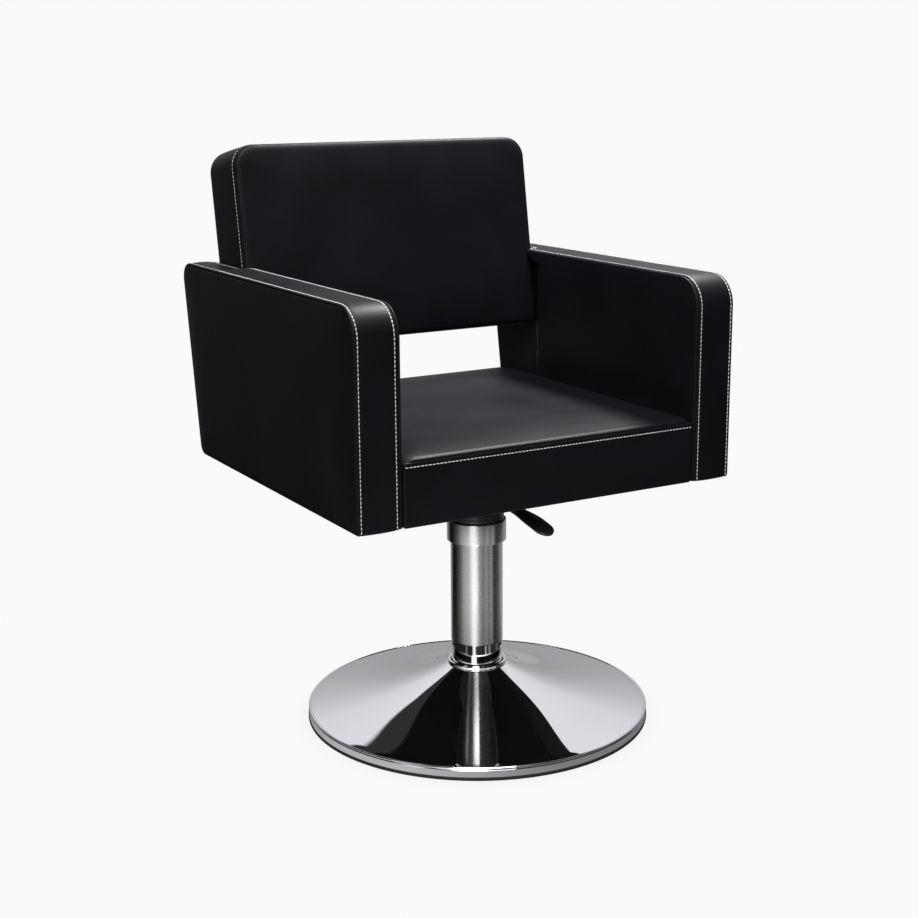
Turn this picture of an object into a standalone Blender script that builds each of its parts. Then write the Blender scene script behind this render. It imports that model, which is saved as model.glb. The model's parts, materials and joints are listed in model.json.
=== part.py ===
"""Square-armed styling chair on a gas-lift column with a chrome trumpet base.

The chair stands on the floor at z = 0 with its column on the Z axis and faces
-Y; its "left" pieces are on the -X side.  All sizes are metres.  Three things
move: the upper chair swivels on the piston rod, slides up and down with the gas
cylinder, and the hand lever under the seat presses the valve pin on top of the
cylinder.
"""
import math

import bmesh
import bpy
from mathutils import Matrix, Vector

# ---------------------------------------------------------------- shared sizes
# Suffixes: _R radius, _IN_R inner radius, _T thickness, _Z0/_Z1 bottom/top.
GAP = 0.0003                # clearance between neighbouring pieces
RING_N = 40                 # facets of the large turned pieces
CORE_N = 20                 # facets of the hidden turned pieces
ROD_N = 16                  # facets of the piston rod
PIN_N = 12                  # facets of bolts and pins

SHANK_R = 0.0040            # bolts
BOLT_HEAD_R = 0.0065
STEEL_HOLE_R = 0.0046       # bolt holes in steel, wood and upholstery
WOOD_HOLE_R = 0.0044
PAD_HOLE_R = 0.0050

# base
PAD_R, PAD_T = 0.2720, 0.0030
GASKET_IN_R = PAD_R + 0.0006
GASKET_R, GASKET_T = 0.2800, 0.0050
BALLAST_R, BALLAST_Z0, BALLAST_Z1 = 0.2660, PAD_T + GAP, 0.0153
COVER_R = 0.2785            # skirt radius of the trumpet cover
COVER_EDGE_R = 0.2752       # where the sloping face meets the rim bead
COVER_EDGE_Z = 0.0201
COVER_TOP_R, COVER_TOP_Z = 0.0487, 0.0855
COVER_HOLE_R = 0.0434
COVER_WALL = 0.0016
COVER_RIM_SLOPE = math.tan(math.radians(9.5))
COVER_STEEPENING = 3.2      # power of the rise towards the neck
COVER_STEPS = 7             # bands of the sloping face
COVER_SPACING = 1.35        # power that draws the bands in towards the neck
NECK_R, NECK_IN_R = COVER_TOP_R, 0.0427
NECK_Z0, NECK_Z1 = COVER_TOP_Z + GAP, 0.0920

# column
FLANGE_R, FLANGE_T = 0.0700, 0.0080
FLANGE_Z0 = BALLAST_Z1 + GAP
FLANGE_Z1 = FLANGE_Z0 + FLANGE_T
FLANGE_BORE_R = 0.0052
FLANGE_BOLT_CIRCLE_R = 0.0560
FLANGE_BOLTS = 3
STAND_R, STAND_IN_R, STAND_TOP = 0.0250, 0.0235, 0.2850
TUBE_R, TUBE_IN_R, TUBE_TOP = 0.0413, 0.0400, 0.3000
SPACER_Z0, SPACER_Z1 = 0.2680, 0.2800
BUSH_Z0, BUSH_Z1 = 0.1850, STAND_TOP + 0.0040
SLEEVE_R, SLEEVE_IN_R = 0.0424, 0.0416
SLEEVE_Z0, SLEEVE_Z1 = 0.1253, 0.3277
COLLAR_R, COLLAR_Z0, COLLAR_Z1 = 0.0482, 0.2961, 0.3311
COLLAR_TOP_T = 0.0030
HUB_COVER_R, HUB_COVER_H = 0.0446, 0.0160
CYL_R, CYL_IN_R, CYL_Z0, CYL_Z1 = 0.0138, 0.0115, 0.0700, 0.3740
CYL_HEAD_Z = 0.3480         # top of the cylinder's chamber
CYL_FLOOR_T = 0.0080
VALVE_R, VALVE_Z0, VALVE_Z1 = 0.0030, 0.3520, 0.3815

# thrust bearing on the flange, bottom to top, and the piston rod above it
WASHER_IN_R, WASHER_R, WASHER_T = 0.0055, 0.0130, 0.0012
CAGE_IN_R, CAGE_STEP_R, CAGE_R, CAGE_T = 0.0058, 0.0090, 0.0126, 0.0030
LOWER_WASHER_Z = FLANGE_Z1 + GAP
CAGE_Z = LOWER_WASHER_Z + WASHER_T + GAP
UPPER_WASHER_Z = CAGE_Z + CAGE_T + GAP
SHOULDER_Z = UPPER_WASHER_Z + WASHER_T + GAP
SHOULDER_R, SHOULDER_T = 0.0095, 0.0028
ROD_R = 0.0049
ROD_END_R, ROD_Z0 = 0.0048, 0.0090          # the rod below its shoulder
GROOVE_R, GROOVE_Z0, GROOVE_Z1 = 0.0038, 0.0115, 0.0137
PISTON_Z0, PISTON_Z1, PISTON_R = 0.3180, 0.3300, 0.0108

# seat mount
PLATE_X, PLATE_Y, PLATE_T, PLATE_TOP = 0.0950, 0.1100, 0.0040, 0.4085
PLATE_Z0 = PLATE_TOP - PLATE_T
PLATE_CORNER_R = 0.0150
PLATE_BOLT_X, PLATE_BOLT_Y = 0.0750, 0.0900
HUB_R, HUB_Z0, HUB_Z1 = 0.0260, 0.3225, PLATE_TOP
HUB_BORE_R, HUB_CUP_R, HUB_CUP_Z = 0.0141, 0.0200, 0.3765
HUB_FIT_R = HUB_R + 0.0004  # bore of the pieces that surround the hub

# hand lever
PIVOT_Y, PIVOT_Z = -0.0400, 0.3846
PIVOT_PIN_R, PIVOT_HOLE_R = 0.0030, 0.0033
BRACKET_IN_X, BRACKET_X = 0.0105, 0.0135    # half widths of the bracket
BRACKET_HALF_Y, BRACKET_Z0 = 0.0090, 0.3765
LEVER_W, LEVER_T = 0.0100, 0.0050
PADDLE_NECK_W, PADDLE_W, PADDLE_T = 0.0165, 0.0280, 0.0110
PADDLE_ROOT = (0.0010, -0.1060, 0.3722)
PADDLE_TIP = (0.0155, -0.1975, 0.3500)
PADDLE_BOW = 0.0030         # rise of the paddle at mid length
PADDLE_N = 12               # sections along the paddle, and facets around it
SOCKET_FIT = 0.0006         # clearance around the lever arm in the paddle
# centre line of the lever arm (x, y, z), from the valve pin to the paddle
LEVER_PATH = [
    (0.0, 0.0035, PIVOT_Z), (0.0, -0.0300, PIVOT_Z), (0.0, -0.0520, PIVOT_Z - 0.0004),
    (0.0, -0.0700, PIVOT_Z - 0.0030), (0.0004, -0.0900, PIVOT_Z - 0.0080),
    PADDLE_ROOT, (0.0040, -0.1260, 0.3674),
]

# seat box and seat pad
FRONT_Y = -0.2300           # front of arms and seat
ARM_Z0, ARM_Z1 = 0.4055, 0.7256
BAND_T = 0.0142             # front upholstery band
BOARD_T, SEAT_BOARD_T = 0.0150, 0.0100
RAIL_X0, RAIL_X1 = 0.2370, 0.2550
RAIL_Y0, RAIL_Y1 = FRONT_Y + BAND_T + GAP, 0.3000
RAIL_Z0, RAIL_Z1 = PLATE_TOP + GAP, 0.4700
BOX_HALF = RAIL_X0 - GAP    # half width between the side rails
SEAT_HALF = 0.2545
SEAT_REAR_Y = 0.3180
SEAT_BOARD_Z0 = RAIL_Z1 + GAP
SEAT_BOARD_Z1 = SEAT_BOARD_Z0 + SEAT_BOARD_T
CUSHION_Z0 = SEAT_BOARD_Z1 + GAP
SEAT_EDGE_Z, SEAT_CROWN = 0.5070, 0.0060
SEAT_EDGE_DROP = 0.00495    # how far the outermost row of the top lies lower
LINING_HALF, LINING_Z0, LINING_Z1 = 0.2540, 0.4060, 0.4080
LINING_MARGIN = 0.0040      # opening around the mounting plate

# arms: x values are distances from the middle of the chair
ARM_OUT_X = 0.3280          # half of the overall width
ARM_IN_X = 0.2560           # half of the clear seat width
ARM_REAR_Y0 = 0.3640        # rear edge at the arm's bottom
RECLINE = math.radians(9.24)
ARM_R_TOP_FRONT, ARM_R_TOP_REAR, ARM_R_LOW_REAR = 0.0470, 0.0270, 0.0190
ARM_EDGE_R = 0.0060
REBATE_X = 0.2740           # side recess that takes the backrest
REBATE_Y, REBATE_Z = 0.2210, 0.5030   # its front wall and its floor
REBATE_LIP_Z = 0.7020       # above this the recess draws back to the backrest
REBATE_LIP_H = 0.0120
REBATE_END_Y, REBATE_END_Z = 0.6000, 0.8000     # outside the arm
CORE_X0, CORE_X1, CORE_INSET = 0.2800, 0.3000, 0.0120
BATTEN_Y, BATTEN_Z1 = 0.2000, RAIL_Z1 - 0.0023
ARM_BOLT_Y = (-0.1200, 0.1500)
ARM_BOLT_Z = 0.4400

# backrest
BACK_Y0, BACK_Z0 = 0.2424, 0.5964   # front bottom edge of the backrest
BACK_ORIGIN = (0.0, BACK_Y0, BACK_Z0)
BACK_TILT = (-RECLINE, 0.0, 0.0)
BACK_HALF, BACK_LEN, BACK_T = 0.2730, 0.3300, 0.1180
BACK_R_TOP, BACK_R_LOW, BACK_EDGE_R = 0.0360, 0.0100, 0.0080
BACK_FOAM = 0.0700
BACK_BOARD_T = 0.0180
BACK_BOARD_Y0 = BACK_FOAM + GAP
BACK_BORDER = 0.0200        # rim above and below the rear recess
RECESS_HALF = 0.2503
RECESS_Z0, RECESS_Z1 = BACK_BORDER, BACK_LEN - BACK_BORDER
REAR_PAD_EDGE_R = 0.0050
BACK_BOLT_Z = (0.0550, 0.1180)      # along the backrest, from its lower edge

for old in list(bpy.data.objects):
    bpy.data.objects.remove(old, do_unlink=True)


# ------------------------------------------------------------------- materials
def material(name, colour, roughness, metallic=0.0):
    mat = bpy.data.materials.new(name)
    mat.use_nodes = True
    shader = mat.node_tree.nodes.get("Principled BSDF")
    shader.inputs["Base Color"].default_value = (*colour, 1.0)
    shader.inputs["Roughness"].default_value = roughness
    shader.inputs["Metallic"].default_value = metallic
    mat.diffuse_color = (*colour, 1.0)
    return mat


LEATHER = material("black_leather", colour=(0.012, 0.012, 0.014), roughness=0.42)
CHROME = material("mirror_chrome", colour=(0.82, 0.83, 0.84), roughness=0.05, metallic=1.0)
BRUSHED = material("brushed_steel", colour=(0.62, 0.60, 0.58), roughness=0.32, metallic=1.0)
ZINC = material("zinc_steel", colour=(0.55, 0.55, 0.53), roughness=0.40, metallic=1.0)
BLACK_STEEL = material("black_painted_steel", colour=(0.018, 0.018, 0.019), roughness=0.45)
CAST = material("ballast_iron", colour=(0.07, 0.07, 0.07), roughness=0.70, metallic=0.6)
RUBBER = material("black_rubber", colour=(0.015, 0.015, 0.015), roughness=0.80)
PLASTIC = material("black_plastic", colour=(0.016, 0.016, 0.018), roughness=0.38)
BUSH = material("white_acetal", colour=(0.78, 0.77, 0.72), roughness=0.45)
PLY = material("birch_plywood", colour=(0.52, 0.37, 0.21), roughness=0.60)
LINING = material("black_lining", colour=(0.02, 0.02, 0.02), roughness=0.90)


# ------------------------------------------------------------- scene helpers
def world_location(obj):
    spot = Vector((0.0, 0.0, 0.0))
    while obj is not None:
        spot += obj.location
        obj = obj.parent
    return spot


def empty(name, location, parent=None):
    """A frame at a world position."""
    obj = bpy.data.objects.new(name, None)
    bpy.context.scene.collection.objects.link(obj)
    obj.empty_display_size = 0.03
    obj.parent = parent
    obj.location = Vector(location) - world_location(parent)
    return obj


def mesh_from(bm, name):
    bmesh.ops.recalc_face_normals(bm, faces=bm.faces)
    mesh = bpy.data.meshes.new(name)
    bm.to_mesh(mesh)
    bm.free()
    return mesh


def place(name, mesh, mat, parent, location=(0.0, 0.0, 0.0), rotation=(0.0, 0.0, 0.0),
          smooth=False):
    """Puts a mesh into the scene; location is a world position."""
    obj = bpy.data.objects.new(name, mesh)
    bpy.context.scene.collection.objects.link(obj)
    if not mesh.materials:          # bolts share one mesh
        mesh.materials.append(mat)
    obj.parent = parent
    obj.location = Vector(location) - world_location(parent)
    obj.rotation_euler = rotation
    if smooth:
        mesh.shade_smooth()
        mesh.set_sharp_from_angle(angle=math.radians(35.0))
    return obj


def place_bolts(name, mesh, parent, locations, rotation=(0.0, 0.0, 0.0)):
    for number, location in enumerate(locations, 1):
        place(f"{name}_{number}", mesh, ZINC, parent, location, rotation, smooth=True)


def merged(parts):
    """Joins several closed bmeshes into one mesh of separate bodies."""
    out = bmesh.new()
    for bm in parts:
        mesh = bpy.data.meshes.new("tmp")
        bm.to_mesh(mesh)
        bm.free()
        out.from_mesh(mesh)
        bpy.data.meshes.remove(mesh)
    return out


def cut(target, name, *shapes, operation="DIFFERENCE"):
    """Cuts world-space shapes out of a target (or joins them to it)."""
    tool = bpy.data.objects.new(name, mesh_from(merged(shapes), name))
    bpy.context.scene.collection.objects.link(tool)
    tool.hide_render = True
    tool.display_type = "WIRE"
    tool.parent = target.parent
    tool.location = -world_location(target.parent)
    mod = target.modifiers.new(name, "BOOLEAN")
    mod.operation = operation
    mod.solver = "EXACT"
    mod.object = tool


# ------------------------------------------------------------- shape helpers
def rectangle(u0, u1, v0, v1):
    return [(u0, v0), (u1, v0), (u1, v1), (u0, v1)]


def arc(centre_u, centre_v, radius, start, end, steps):
    """Points on an arc, angles in degrees."""
    out = []
    for i in range(steps + 1):
        angle = math.radians(start + (end - start) * i / steps)
        out.append((centre_u + radius * math.cos(angle), centre_v + radius * math.sin(angle)))
    return out


def rounded(corners, steps):
    """Outline through (u, v, radius) corners with each corner filleted."""
    out = []
    for i, (u, v, radius) in enumerate(corners):
        if radius <= 0.0:
            out.append((u, v))
            continue
        here = Vector((u, v))
        before = (Vector(corners[i - 1][:2]) - here).normalized()
        after = (Vector(corners[(i + 1) % len(corners)][:2]) - here).normalized()
        half = before.angle(after) / 2.0
        reach = radius / math.tan(half)
        centre = here + (before + after).normalized() * (radius / math.sin(half))
        first = here + before * reach - centre
        last = here + after * reach - centre
        turn = first.angle_signed(last)
        for k in range(steps + 1):
            cos, sin = math.cos(-turn * k / steps), math.sin(-turn * k / steps)
            spoke = Vector((first.x * cos - first.y * sin, first.x * sin + first.y * cos))
            out.append(tuple(centre + spoke))
    return out


def spin(points, segments, closed):
    """Turns a profile of (radius, height) points about the Z axis."""
    bm = bmesh.new()
    verts = [bm.verts.new((r, 0.0, z)) for r, z in points]
    edges = [bm.edges.new(pair) for pair in zip(verts, verts[1:])]
    if closed:
        edges.append(bm.edges.new((verts[-1], verts[0])))
    bmesh.ops.spin(bm, geom=verts + edges, cent=(0.0, 0.0, 0.0), axis=(0.0, 0.0, 1.0),
                   angle=2.0 * math.pi, steps=segments, use_merge=True)
    bmesh.ops.remove_doubles(bm, verts=bm.verts, dist=1e-6)
    return bm


def turned(name, points, segments, mat, parent, closed=True, location=(0.0, 0.0, 0.0)):
    """Turned piece; a profile that starts and ends on the axis isn't closed."""
    return place(name, mesh_from(spin(points, segments, closed), name), mat, parent,
                 location, smooth=True)


# for each extrusion axis: the outline's two coordinate indices, then its own
AXES = {"X": (1, 2, 0), "Y": (0, 2, 1), "Z": (0, 1, 2)}


def prism(outline, axis, start, end):
    """Extrudes an outline along an axis; the outline's two numbers are the other
    two coordinates in order."""
    index_u, index_v, index_w = AXES[axis]
    bm = bmesh.new()
    verts = []
    for u, v in outline:
        co = [0.0, 0.0, 0.0]
        co[index_u], co[index_v], co[index_w] = u, v, start
        verts.append(bm.verts.new(co))
    face = bm.faces.new(verts)
    result = bmesh.ops.extrude_face_region(bm, geom=[face])
    move = [0.0, 0.0, 0.0]
    move[index_w] = end - start
    bmesh.ops.translate(bm, vec=move,
                        verts=[e for e in result["geom"] if isinstance(e, bmesh.types.BMVert)])
    bmesh.ops.recalc_face_normals(bm, faces=bm.faces)
    return bm


def block(x0, x1, y0, y1, z0, z1):
    return prism(rectangle(x0, x1, y0, y1), "Z", z0, z1)


def rod(axis, centre, radius, start, end, segments=PIN_N):
    """A round bar along an axis; centre gives the other two coordinates."""
    angles = [2 * math.pi * i / segments for i in range(segments)]
    ring = [(centre[0] + radius * math.cos(a), centre[1] + radius * math.sin(a))
            for a in angles]
    return prism(ring, axis, start, end)


def rods(axis, centres, radius, start, end):
    return [rod(axis, centre, radius, start, end) for centre in centres]


def bevel(bm, edges, width):
    bmesh.ops.bevel(bm, geom=edges, offset=width, offset_type="OFFSET", segments=2,
                    profile=0.5, affect="EDGES", clamp_overlap=True)


def end_edges(bm, axis):
    """Edges around the two end faces of a prism extruded along an axis (0, 1 or 2)."""
    return [e for e in bm.edges if abs(e.verts[0].co[axis] - e.verts[1].co[axis]) < 1e-6]


def loft(sections):
    """Skins a list of equal-length rings of points and closes both ends."""
    bm = bmesh.new()
    loops = [[bm.verts.new(co) for co in ring] for ring in sections]
    count = len(loops[0])
    for lower, upper in zip(loops, loops[1:]):
        for i in range(count):
            j = (i + 1) % count
            bm.faces.new((lower[i], upper[i], upper[j], lower[j]))
    bm.faces.new(loops[0])
    bm.faces.new(loops[-1])
    return bm


def bolt_mesh(name, head_r, head_h, shank_r, length):
    """Hexagon bolt: the head stands on the +Z side of the origin, the shank
    runs down to -length."""
    def ring(z, radius, hexagon):
        out = []
        for i in range(PIN_N):
            angle = 2.0 * math.pi * i / PIN_N
            # every second point of the head is the middle of a flat
            r = radius * math.cos(math.pi / 6.0) if hexagon and i % 2 else radius
            out.append((r * math.cos(angle), r * math.sin(angle), z))
        return out

    return mesh_from(loft([ring(head_h, head_r * 0.94, True), ring(0.0, head_r, True),
                           ring(0.0, shank_r, False), ring(-length, shank_r, False)]), name)


# ---------------------------------------------------------------------- frames
BASE = empty("base_frame", (0.0, 0.0, 0.0))
SWIVEL = empty("swivel_axis", (0.0, 0.0, 0.0), BASE)
CHAIR = empty("lift_axis", (0.0, 0.0, 0.0), SWIVEL)
LEVER = empty("lever_axis", (0.0, PIVOT_Y, PIVOT_Z), CHAIR)
VALVE = empty("valve_axis", (0.0, 0.0, VALVE_Z0), CHAIR)


def wooden(name, bm):
    return place(name, mesh_from(bm, name), PLY, CHAIR)


# ------------------------------------------------------------------------ base
flange_angles = [math.radians(90.0 + 360.0 * i / FLANGE_BOLTS) for i in range(FLANGE_BOLTS)]
FLANGE_SPOTS = [(FLANGE_BOLT_CIRCLE_R * math.cos(a), FLANGE_BOLT_CIRCLE_R * math.sin(a))
                for a in flange_angles]


def floor_pad():
    turned("floor_pad", rectangle(0.0, PAD_R, 0.0, PAD_T), RING_N, RUBBER, BASE, closed=False)


def edge_gasket():
    turned("edge_gasket",
           [(GASKET_IN_R, 0.0), (GASKET_R - 0.0008, 0.0), (GASKET_R, 0.0010),
            (GASKET_R, 0.0040), (GASKET_R - 0.0010, GASKET_T), (GASKET_IN_R, GASKET_T)],
           RING_N, RUBBER, BASE)


def ballast_plate():
    """Iron disc with a blind hole in the middle and three for the flange bolts."""
    centre_r, centre_z0, centre_n = 0.0120, 0.0075, 24
    bolt_hole_r, bolt_hole_z0 = 0.0043, 0.0052
    cut_top = 0.0300
    plate = turned("ballast_plate",
                   [(0.0, BALLAST_Z0), (BALLAST_R, BALLAST_Z0),
                    (BALLAST_R, BALLAST_Z1 - 0.002), (BALLAST_R - 0.003, BALLAST_Z1),
                    (0.0, BALLAST_Z1)], RING_N, CAST, BASE, closed=False)
    cut(plate, "ballast_holes",
        rod("Z", (0.0, 0.0), centre_r, centre_z0, cut_top, centre_n),
        *rods("Z", FLANGE_SPOTS, bolt_hole_r, bolt_hole_z0, cut_top))


def cover_height(r):
    """Height of the trumpet's sloping face: a shallow cone at the rim that
    steepens smoothly towards the neck."""
    inward = COVER_EDGE_R - r
    span = COVER_EDGE_R - COVER_TOP_R
    rise = COVER_TOP_Z - COVER_EDGE_Z - COVER_RIM_SLOPE * span
    return (COVER_EDGE_Z + COVER_RIM_SLOPE * inward
            + rise * max(inward / span, 0.0) ** COVER_STEEPENING)


def base_cover():
    """Trumpet cover of even wall thickness, with a rim bead above its skirt."""
    skirt_z0 = GASKET_T + GAP
    probe = 0.0005          # half step for measuring the slope
    radii = [COVER_TOP_R + (COVER_EDGE_R - COVER_TOP_R) * (i / COVER_STEPS) ** COVER_SPACING
             for i in range(COVER_STEPS + 1)]
    outer = [(COVER_HOLE_R, COVER_TOP_Z)]
    outer += [(r, cover_height(r)) for r in radii]
    outer += arc(COVER_R - 0.0013, 0.0187, radius=0.0018, start=80.0, end=-10.0, steps=2)
    outer += [(COVER_R, 0.0170), (COVER_R, skirt_z0)]
    inner = [(COVER_R - COVER_WALL, skirt_z0), (COVER_R - COVER_WALL, 0.0178)]
    for r in reversed(radii):
        slope = (cover_height(r - probe) - cover_height(r + probe)) / (2.0 * probe)
        length = math.hypot(1.0, slope)
        inner.append((r - COVER_WALL * slope / length, cover_height(r) - COVER_WALL / length))
    inner.append((COVER_HOLE_R, COVER_TOP_Z - COVER_WALL))
    turned("base_cover", outer + inner, RING_N, CHROME, BASE)


def neck_ring():
    turned("neck_ring",
           [(NECK_IN_R, NECK_Z0), (NECK_R - 0.0008, NECK_Z0), (NECK_R, NECK_Z0 + 0.0012),
            (NECK_R, NECK_Z1 - 0.0026), (NECK_R - 0.0013, NECK_Z1 - 0.0006),
            (NECK_R - 0.0030, NECK_Z1), (NECK_IN_R, NECK_Z1 - 0.0030)],
           RING_N, CHROME, BASE)


# ---------------------------------------------------------------- fixed column
def standpipe():
    """Inner pipe on a bolted flange."""
    overshoot = 0.004
    stand = turned("standpipe",
                   [(FLANGE_BORE_R, FLANGE_Z0), (FLANGE_R, FLANGE_Z0), (FLANGE_R, FLANGE_Z1),
                    (STAND_R, FLANGE_Z1), (STAND_R, STAND_TOP), (STAND_IN_R, STAND_TOP),
                    (STAND_IN_R, FLANGE_Z1), (FLANGE_BORE_R, FLANGE_Z1)],
                   CORE_N, BLACK_STEEL, BASE)
    cut(stand, "flange_holes",
        *rods("Z", FLANGE_SPOTS, STEEL_HOLE_R, FLANGE_Z0 - overshoot, FLANGE_Z1 + overshoot))
    bolt = bolt_mesh("flange_bolt", head_r=BOLT_HEAD_R, head_h=0.0050, shank_r=SHANK_R,
                     length=0.0172)
    place_bolts("flange_bolt", bolt, BASE, [(x, y, FLANGE_Z1 + GAP) for x, y in FLANGE_SPOTS])


def column_tube():
    turned("column_tube", rectangle(TUBE_IN_R, TUBE_R, FLANGE_Z1 + GAP, TUBE_TOP),
           RING_N, CHROME, BASE)


def tube_spacer():
    turned("tube_spacer",
           rectangle(STAND_R + 0.0005, TUBE_IN_R - GAP, SPACER_Z0, SPACER_Z1),
           CORE_N, BUSH, BASE)


def guide_bush():
    """Guides the gas cylinder; its lip rests on top of the standpipe."""
    bore_r, lip_r, lip_z0 = CYL_R + 0.0004, STAND_R + 0.0012, STAND_TOP + GAP
    turned("guide_bush",
           [(bore_r, BUSH_Z0), (STAND_IN_R - GAP, BUSH_Z0), (STAND_IN_R - GAP, lip_z0),
            (lip_r, lip_z0), (lip_r, BUSH_Z1), (bore_r, BUSH_Z1)], CORE_N, BUSH, BASE)


def thrust_washer(name, z0, parent):
    turned(name, rectangle(WASHER_IN_R, WASHER_R, z0, z0 + WASHER_T), CORE_N, ZINC, parent)


def thrust_ball_cage():
    step = 0.0004
    top = CAGE_Z + CAGE_T
    turned("thrust_ball_cage",
           [(CAGE_IN_R, CAGE_Z), (CAGE_STEP_R, CAGE_Z), (CAGE_R, CAGE_Z + step),
            (CAGE_R, top - step), (CAGE_STEP_R, top), (CAGE_IN_R, top)], CORE_N, ZINC, BASE)


# ------------------------------------------------------------- swivelling parts
def piston_rod():
    shoulder_top = SHOULDER_Z + SHOULDER_T
    turned("piston_rod",
           [(0.0, ROD_Z0), (ROD_END_R - 0.0004, ROD_Z0), (ROD_END_R, ROD_Z0 + 0.0005),
            (ROD_END_R, GROOVE_Z0), (GROOVE_R, GROOVE_Z0), (GROOVE_R, GROOVE_Z1),
            (ROD_END_R, GROOVE_Z1), (ROD_END_R, SHOULDER_Z), (SHOULDER_R, SHOULDER_Z),
            (SHOULDER_R, shoulder_top), (ROD_R, shoulder_top), (ROD_R, PISTON_Z0),
            (PISTON_R, PISTON_Z0), (PISTON_R, PISTON_Z1), (0.0, PISTON_Z1)],
           ROD_N, ZINC, SWIVEL, closed=False)


def retaining_clip():
    """Flat open ring that snaps into the rod's groove."""
    opening, steps = 70.0, 14       # degrees; sections around the ring
    section = rectangle(0.0041, 0.0085, GROOVE_Z0 + 0.0005, GROOVE_Z0 + 0.0017)
    rings = []
    for i in range(steps + 1):
        angle = math.radians(opening / 2.0 + (360.0 - opening) * i / steps)
        rings.append([(r * math.cos(angle), r * math.sin(angle), z) for r, z in section])
    place("retaining_clip", mesh_from(loft(rings), "retaining_clip"), ZINC, SWIVEL)


# --------------------------------------------------------------- lifting column
def gas_cylinder():
    rod_hole_r, valve_hole_r, floor_z = ROD_R + 0.0004, VALVE_R + GAP, CYL_Z0 + CYL_FLOOR_T
    turned("gas_cylinder",
           [(rod_hole_r, CYL_Z0), (CYL_R, CYL_Z0), (CYL_R, CYL_Z1 - 0.002),
            (CYL_R - 0.0008, CYL_Z1), (valve_hole_r, CYL_Z1), (valve_hole_r, CYL_HEAD_Z),
            (CYL_IN_R, CYL_HEAD_Z), (CYL_IN_R, floor_z), (rod_hole_r, floor_z)],
           CORE_N, BLACK_STEEL, CHAIR)


def column_sleeve():
    turned("column_sleeve", rectangle(SLEEVE_IN_R, SLEEVE_R, SLEEVE_Z0, SLEEVE_Z1),
           RING_N, BRUSHED, CHAIR)


def column_collar():
    """Collar around the sleeve, with a lid that closes in on the hub."""
    bore_r, edge, lid_z0 = SLEEVE_R + GAP, 0.0008, COLLAR_Z1 - COLLAR_TOP_T
    turned("column_collar",
           [(bore_r, COLLAR_Z0), (COLLAR_R - edge, COLLAR_Z0), (COLLAR_R, COLLAR_Z0 + edge),
            (COLLAR_R, COLLAR_Z1 - edge), (COLLAR_R - edge, COLLAR_Z1),
            (HUB_FIT_R, COLLAR_Z1), (HUB_FIT_R, lid_z0), (bore_r, lid_z0)],
           RING_N, BRUSHED, CHAIR)


def hub_cover():
    top = COLLAR_Z1 + HUB_COVER_H
    turned("hub_cover",
           [(HUB_FIT_R, COLLAR_Z1 + GAP), (HUB_COVER_R - 0.0006, COLLAR_Z1 + GAP),
            (HUB_COVER_R, COLLAR_Z1 + 0.0012), (HUB_COVER_R, top - 0.0035),
            (HUB_COVER_R - 0.0012, top - 0.0012), (HUB_COVER_R - 0.0036, top),
            (HUB_FIT_R, top)], RING_N, PLASTIC, CHAIR)


# ------------------------------------------------------------------ seat mount
PLATE_SPOTS = [(sx * PLATE_BOLT_X, sy * PLATE_BOLT_Y) for sx in (-1, 1) for sy in (-1, 1)]


def taper_hub():
    """Hub with gussets at +X, -X and +Y, and a slot at the front for the lever."""
    hub = turned("taper_hub",
                 [(HUB_BORE_R, HUB_Z0), (HUB_R, HUB_Z0), (HUB_R, HUB_Z1), (HUB_CUP_R, HUB_Z1),
                  (HUB_CUP_R, HUB_CUP_Z), (HUB_BORE_R, HUB_CUP_Z)],
                 CORE_N, BLACK_STEEL, CHAIR)
    half_t = 0.0020
    top = PLATE_Z0 - GAP
    # (distance from the axis, z)
    gusset = [(0.0230, 0.3540), (0.0290, 0.3540), (0.0560, top - 0.0060),
              (0.0560, top), (0.0230, top)]
    mirrored = [(-u, z) for u, z in reversed(gusset)]
    cut(hub, "gussets", prism(gusset, "Y", -half_t, half_t),
        prism(mirrored, "Y", -half_t, half_t), prism(gusset, "X", -half_t, half_t),
        operation="UNION")
    cut(hub, "lever_slot", block(-0.0075, 0.0075, -0.0320, -0.0120, 0.3775, 0.3965))


def mounting_plate():
    corners = [(x, y, PLATE_CORNER_R) for x, y in rectangle(-PLATE_X, PLATE_X,
                                                            -PLATE_Y, PLATE_Y)]
    plate_bm = prism(rounded(corners, steps=3), "Z", PLATE_Z0, PLATE_TOP)
    plate = place("mounting_plate", mesh_from(plate_bm, "mounting_plate"), BLACK_STEEL, CHAIR)
    cut_z0, cut_z1 = PLATE_Z0 - 0.003, PLATE_TOP + 0.003
    cut(plate, "plate_holes", rod("Z", (0.0, 0.0), HUB_FIT_R, cut_z0, cut_z1, CORE_N),
        *rods("Z", PLATE_SPOTS, STEEL_HOLE_R, cut_z0, cut_z1))
    bolt = bolt_mesh("plate_bolt", head_r=BOLT_HEAD_R, head_h=0.0048, shank_r=SHANK_R,
                     length=0.0185)
    # heads below the plate
    place_bolts("plate_bolt", bolt, CHAIR, [(x, y, PLATE_Z0 - GAP) for x, y in PLATE_SPOTS],
                (math.pi, 0.0, 0.0))


# ------------------------------------------------------------------ hand lever
def lever_pivot_hole():
    return rod("X", (PIVOT_Y, PIVOT_Z), PIVOT_HOLE_R, -0.02, 0.02)


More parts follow.
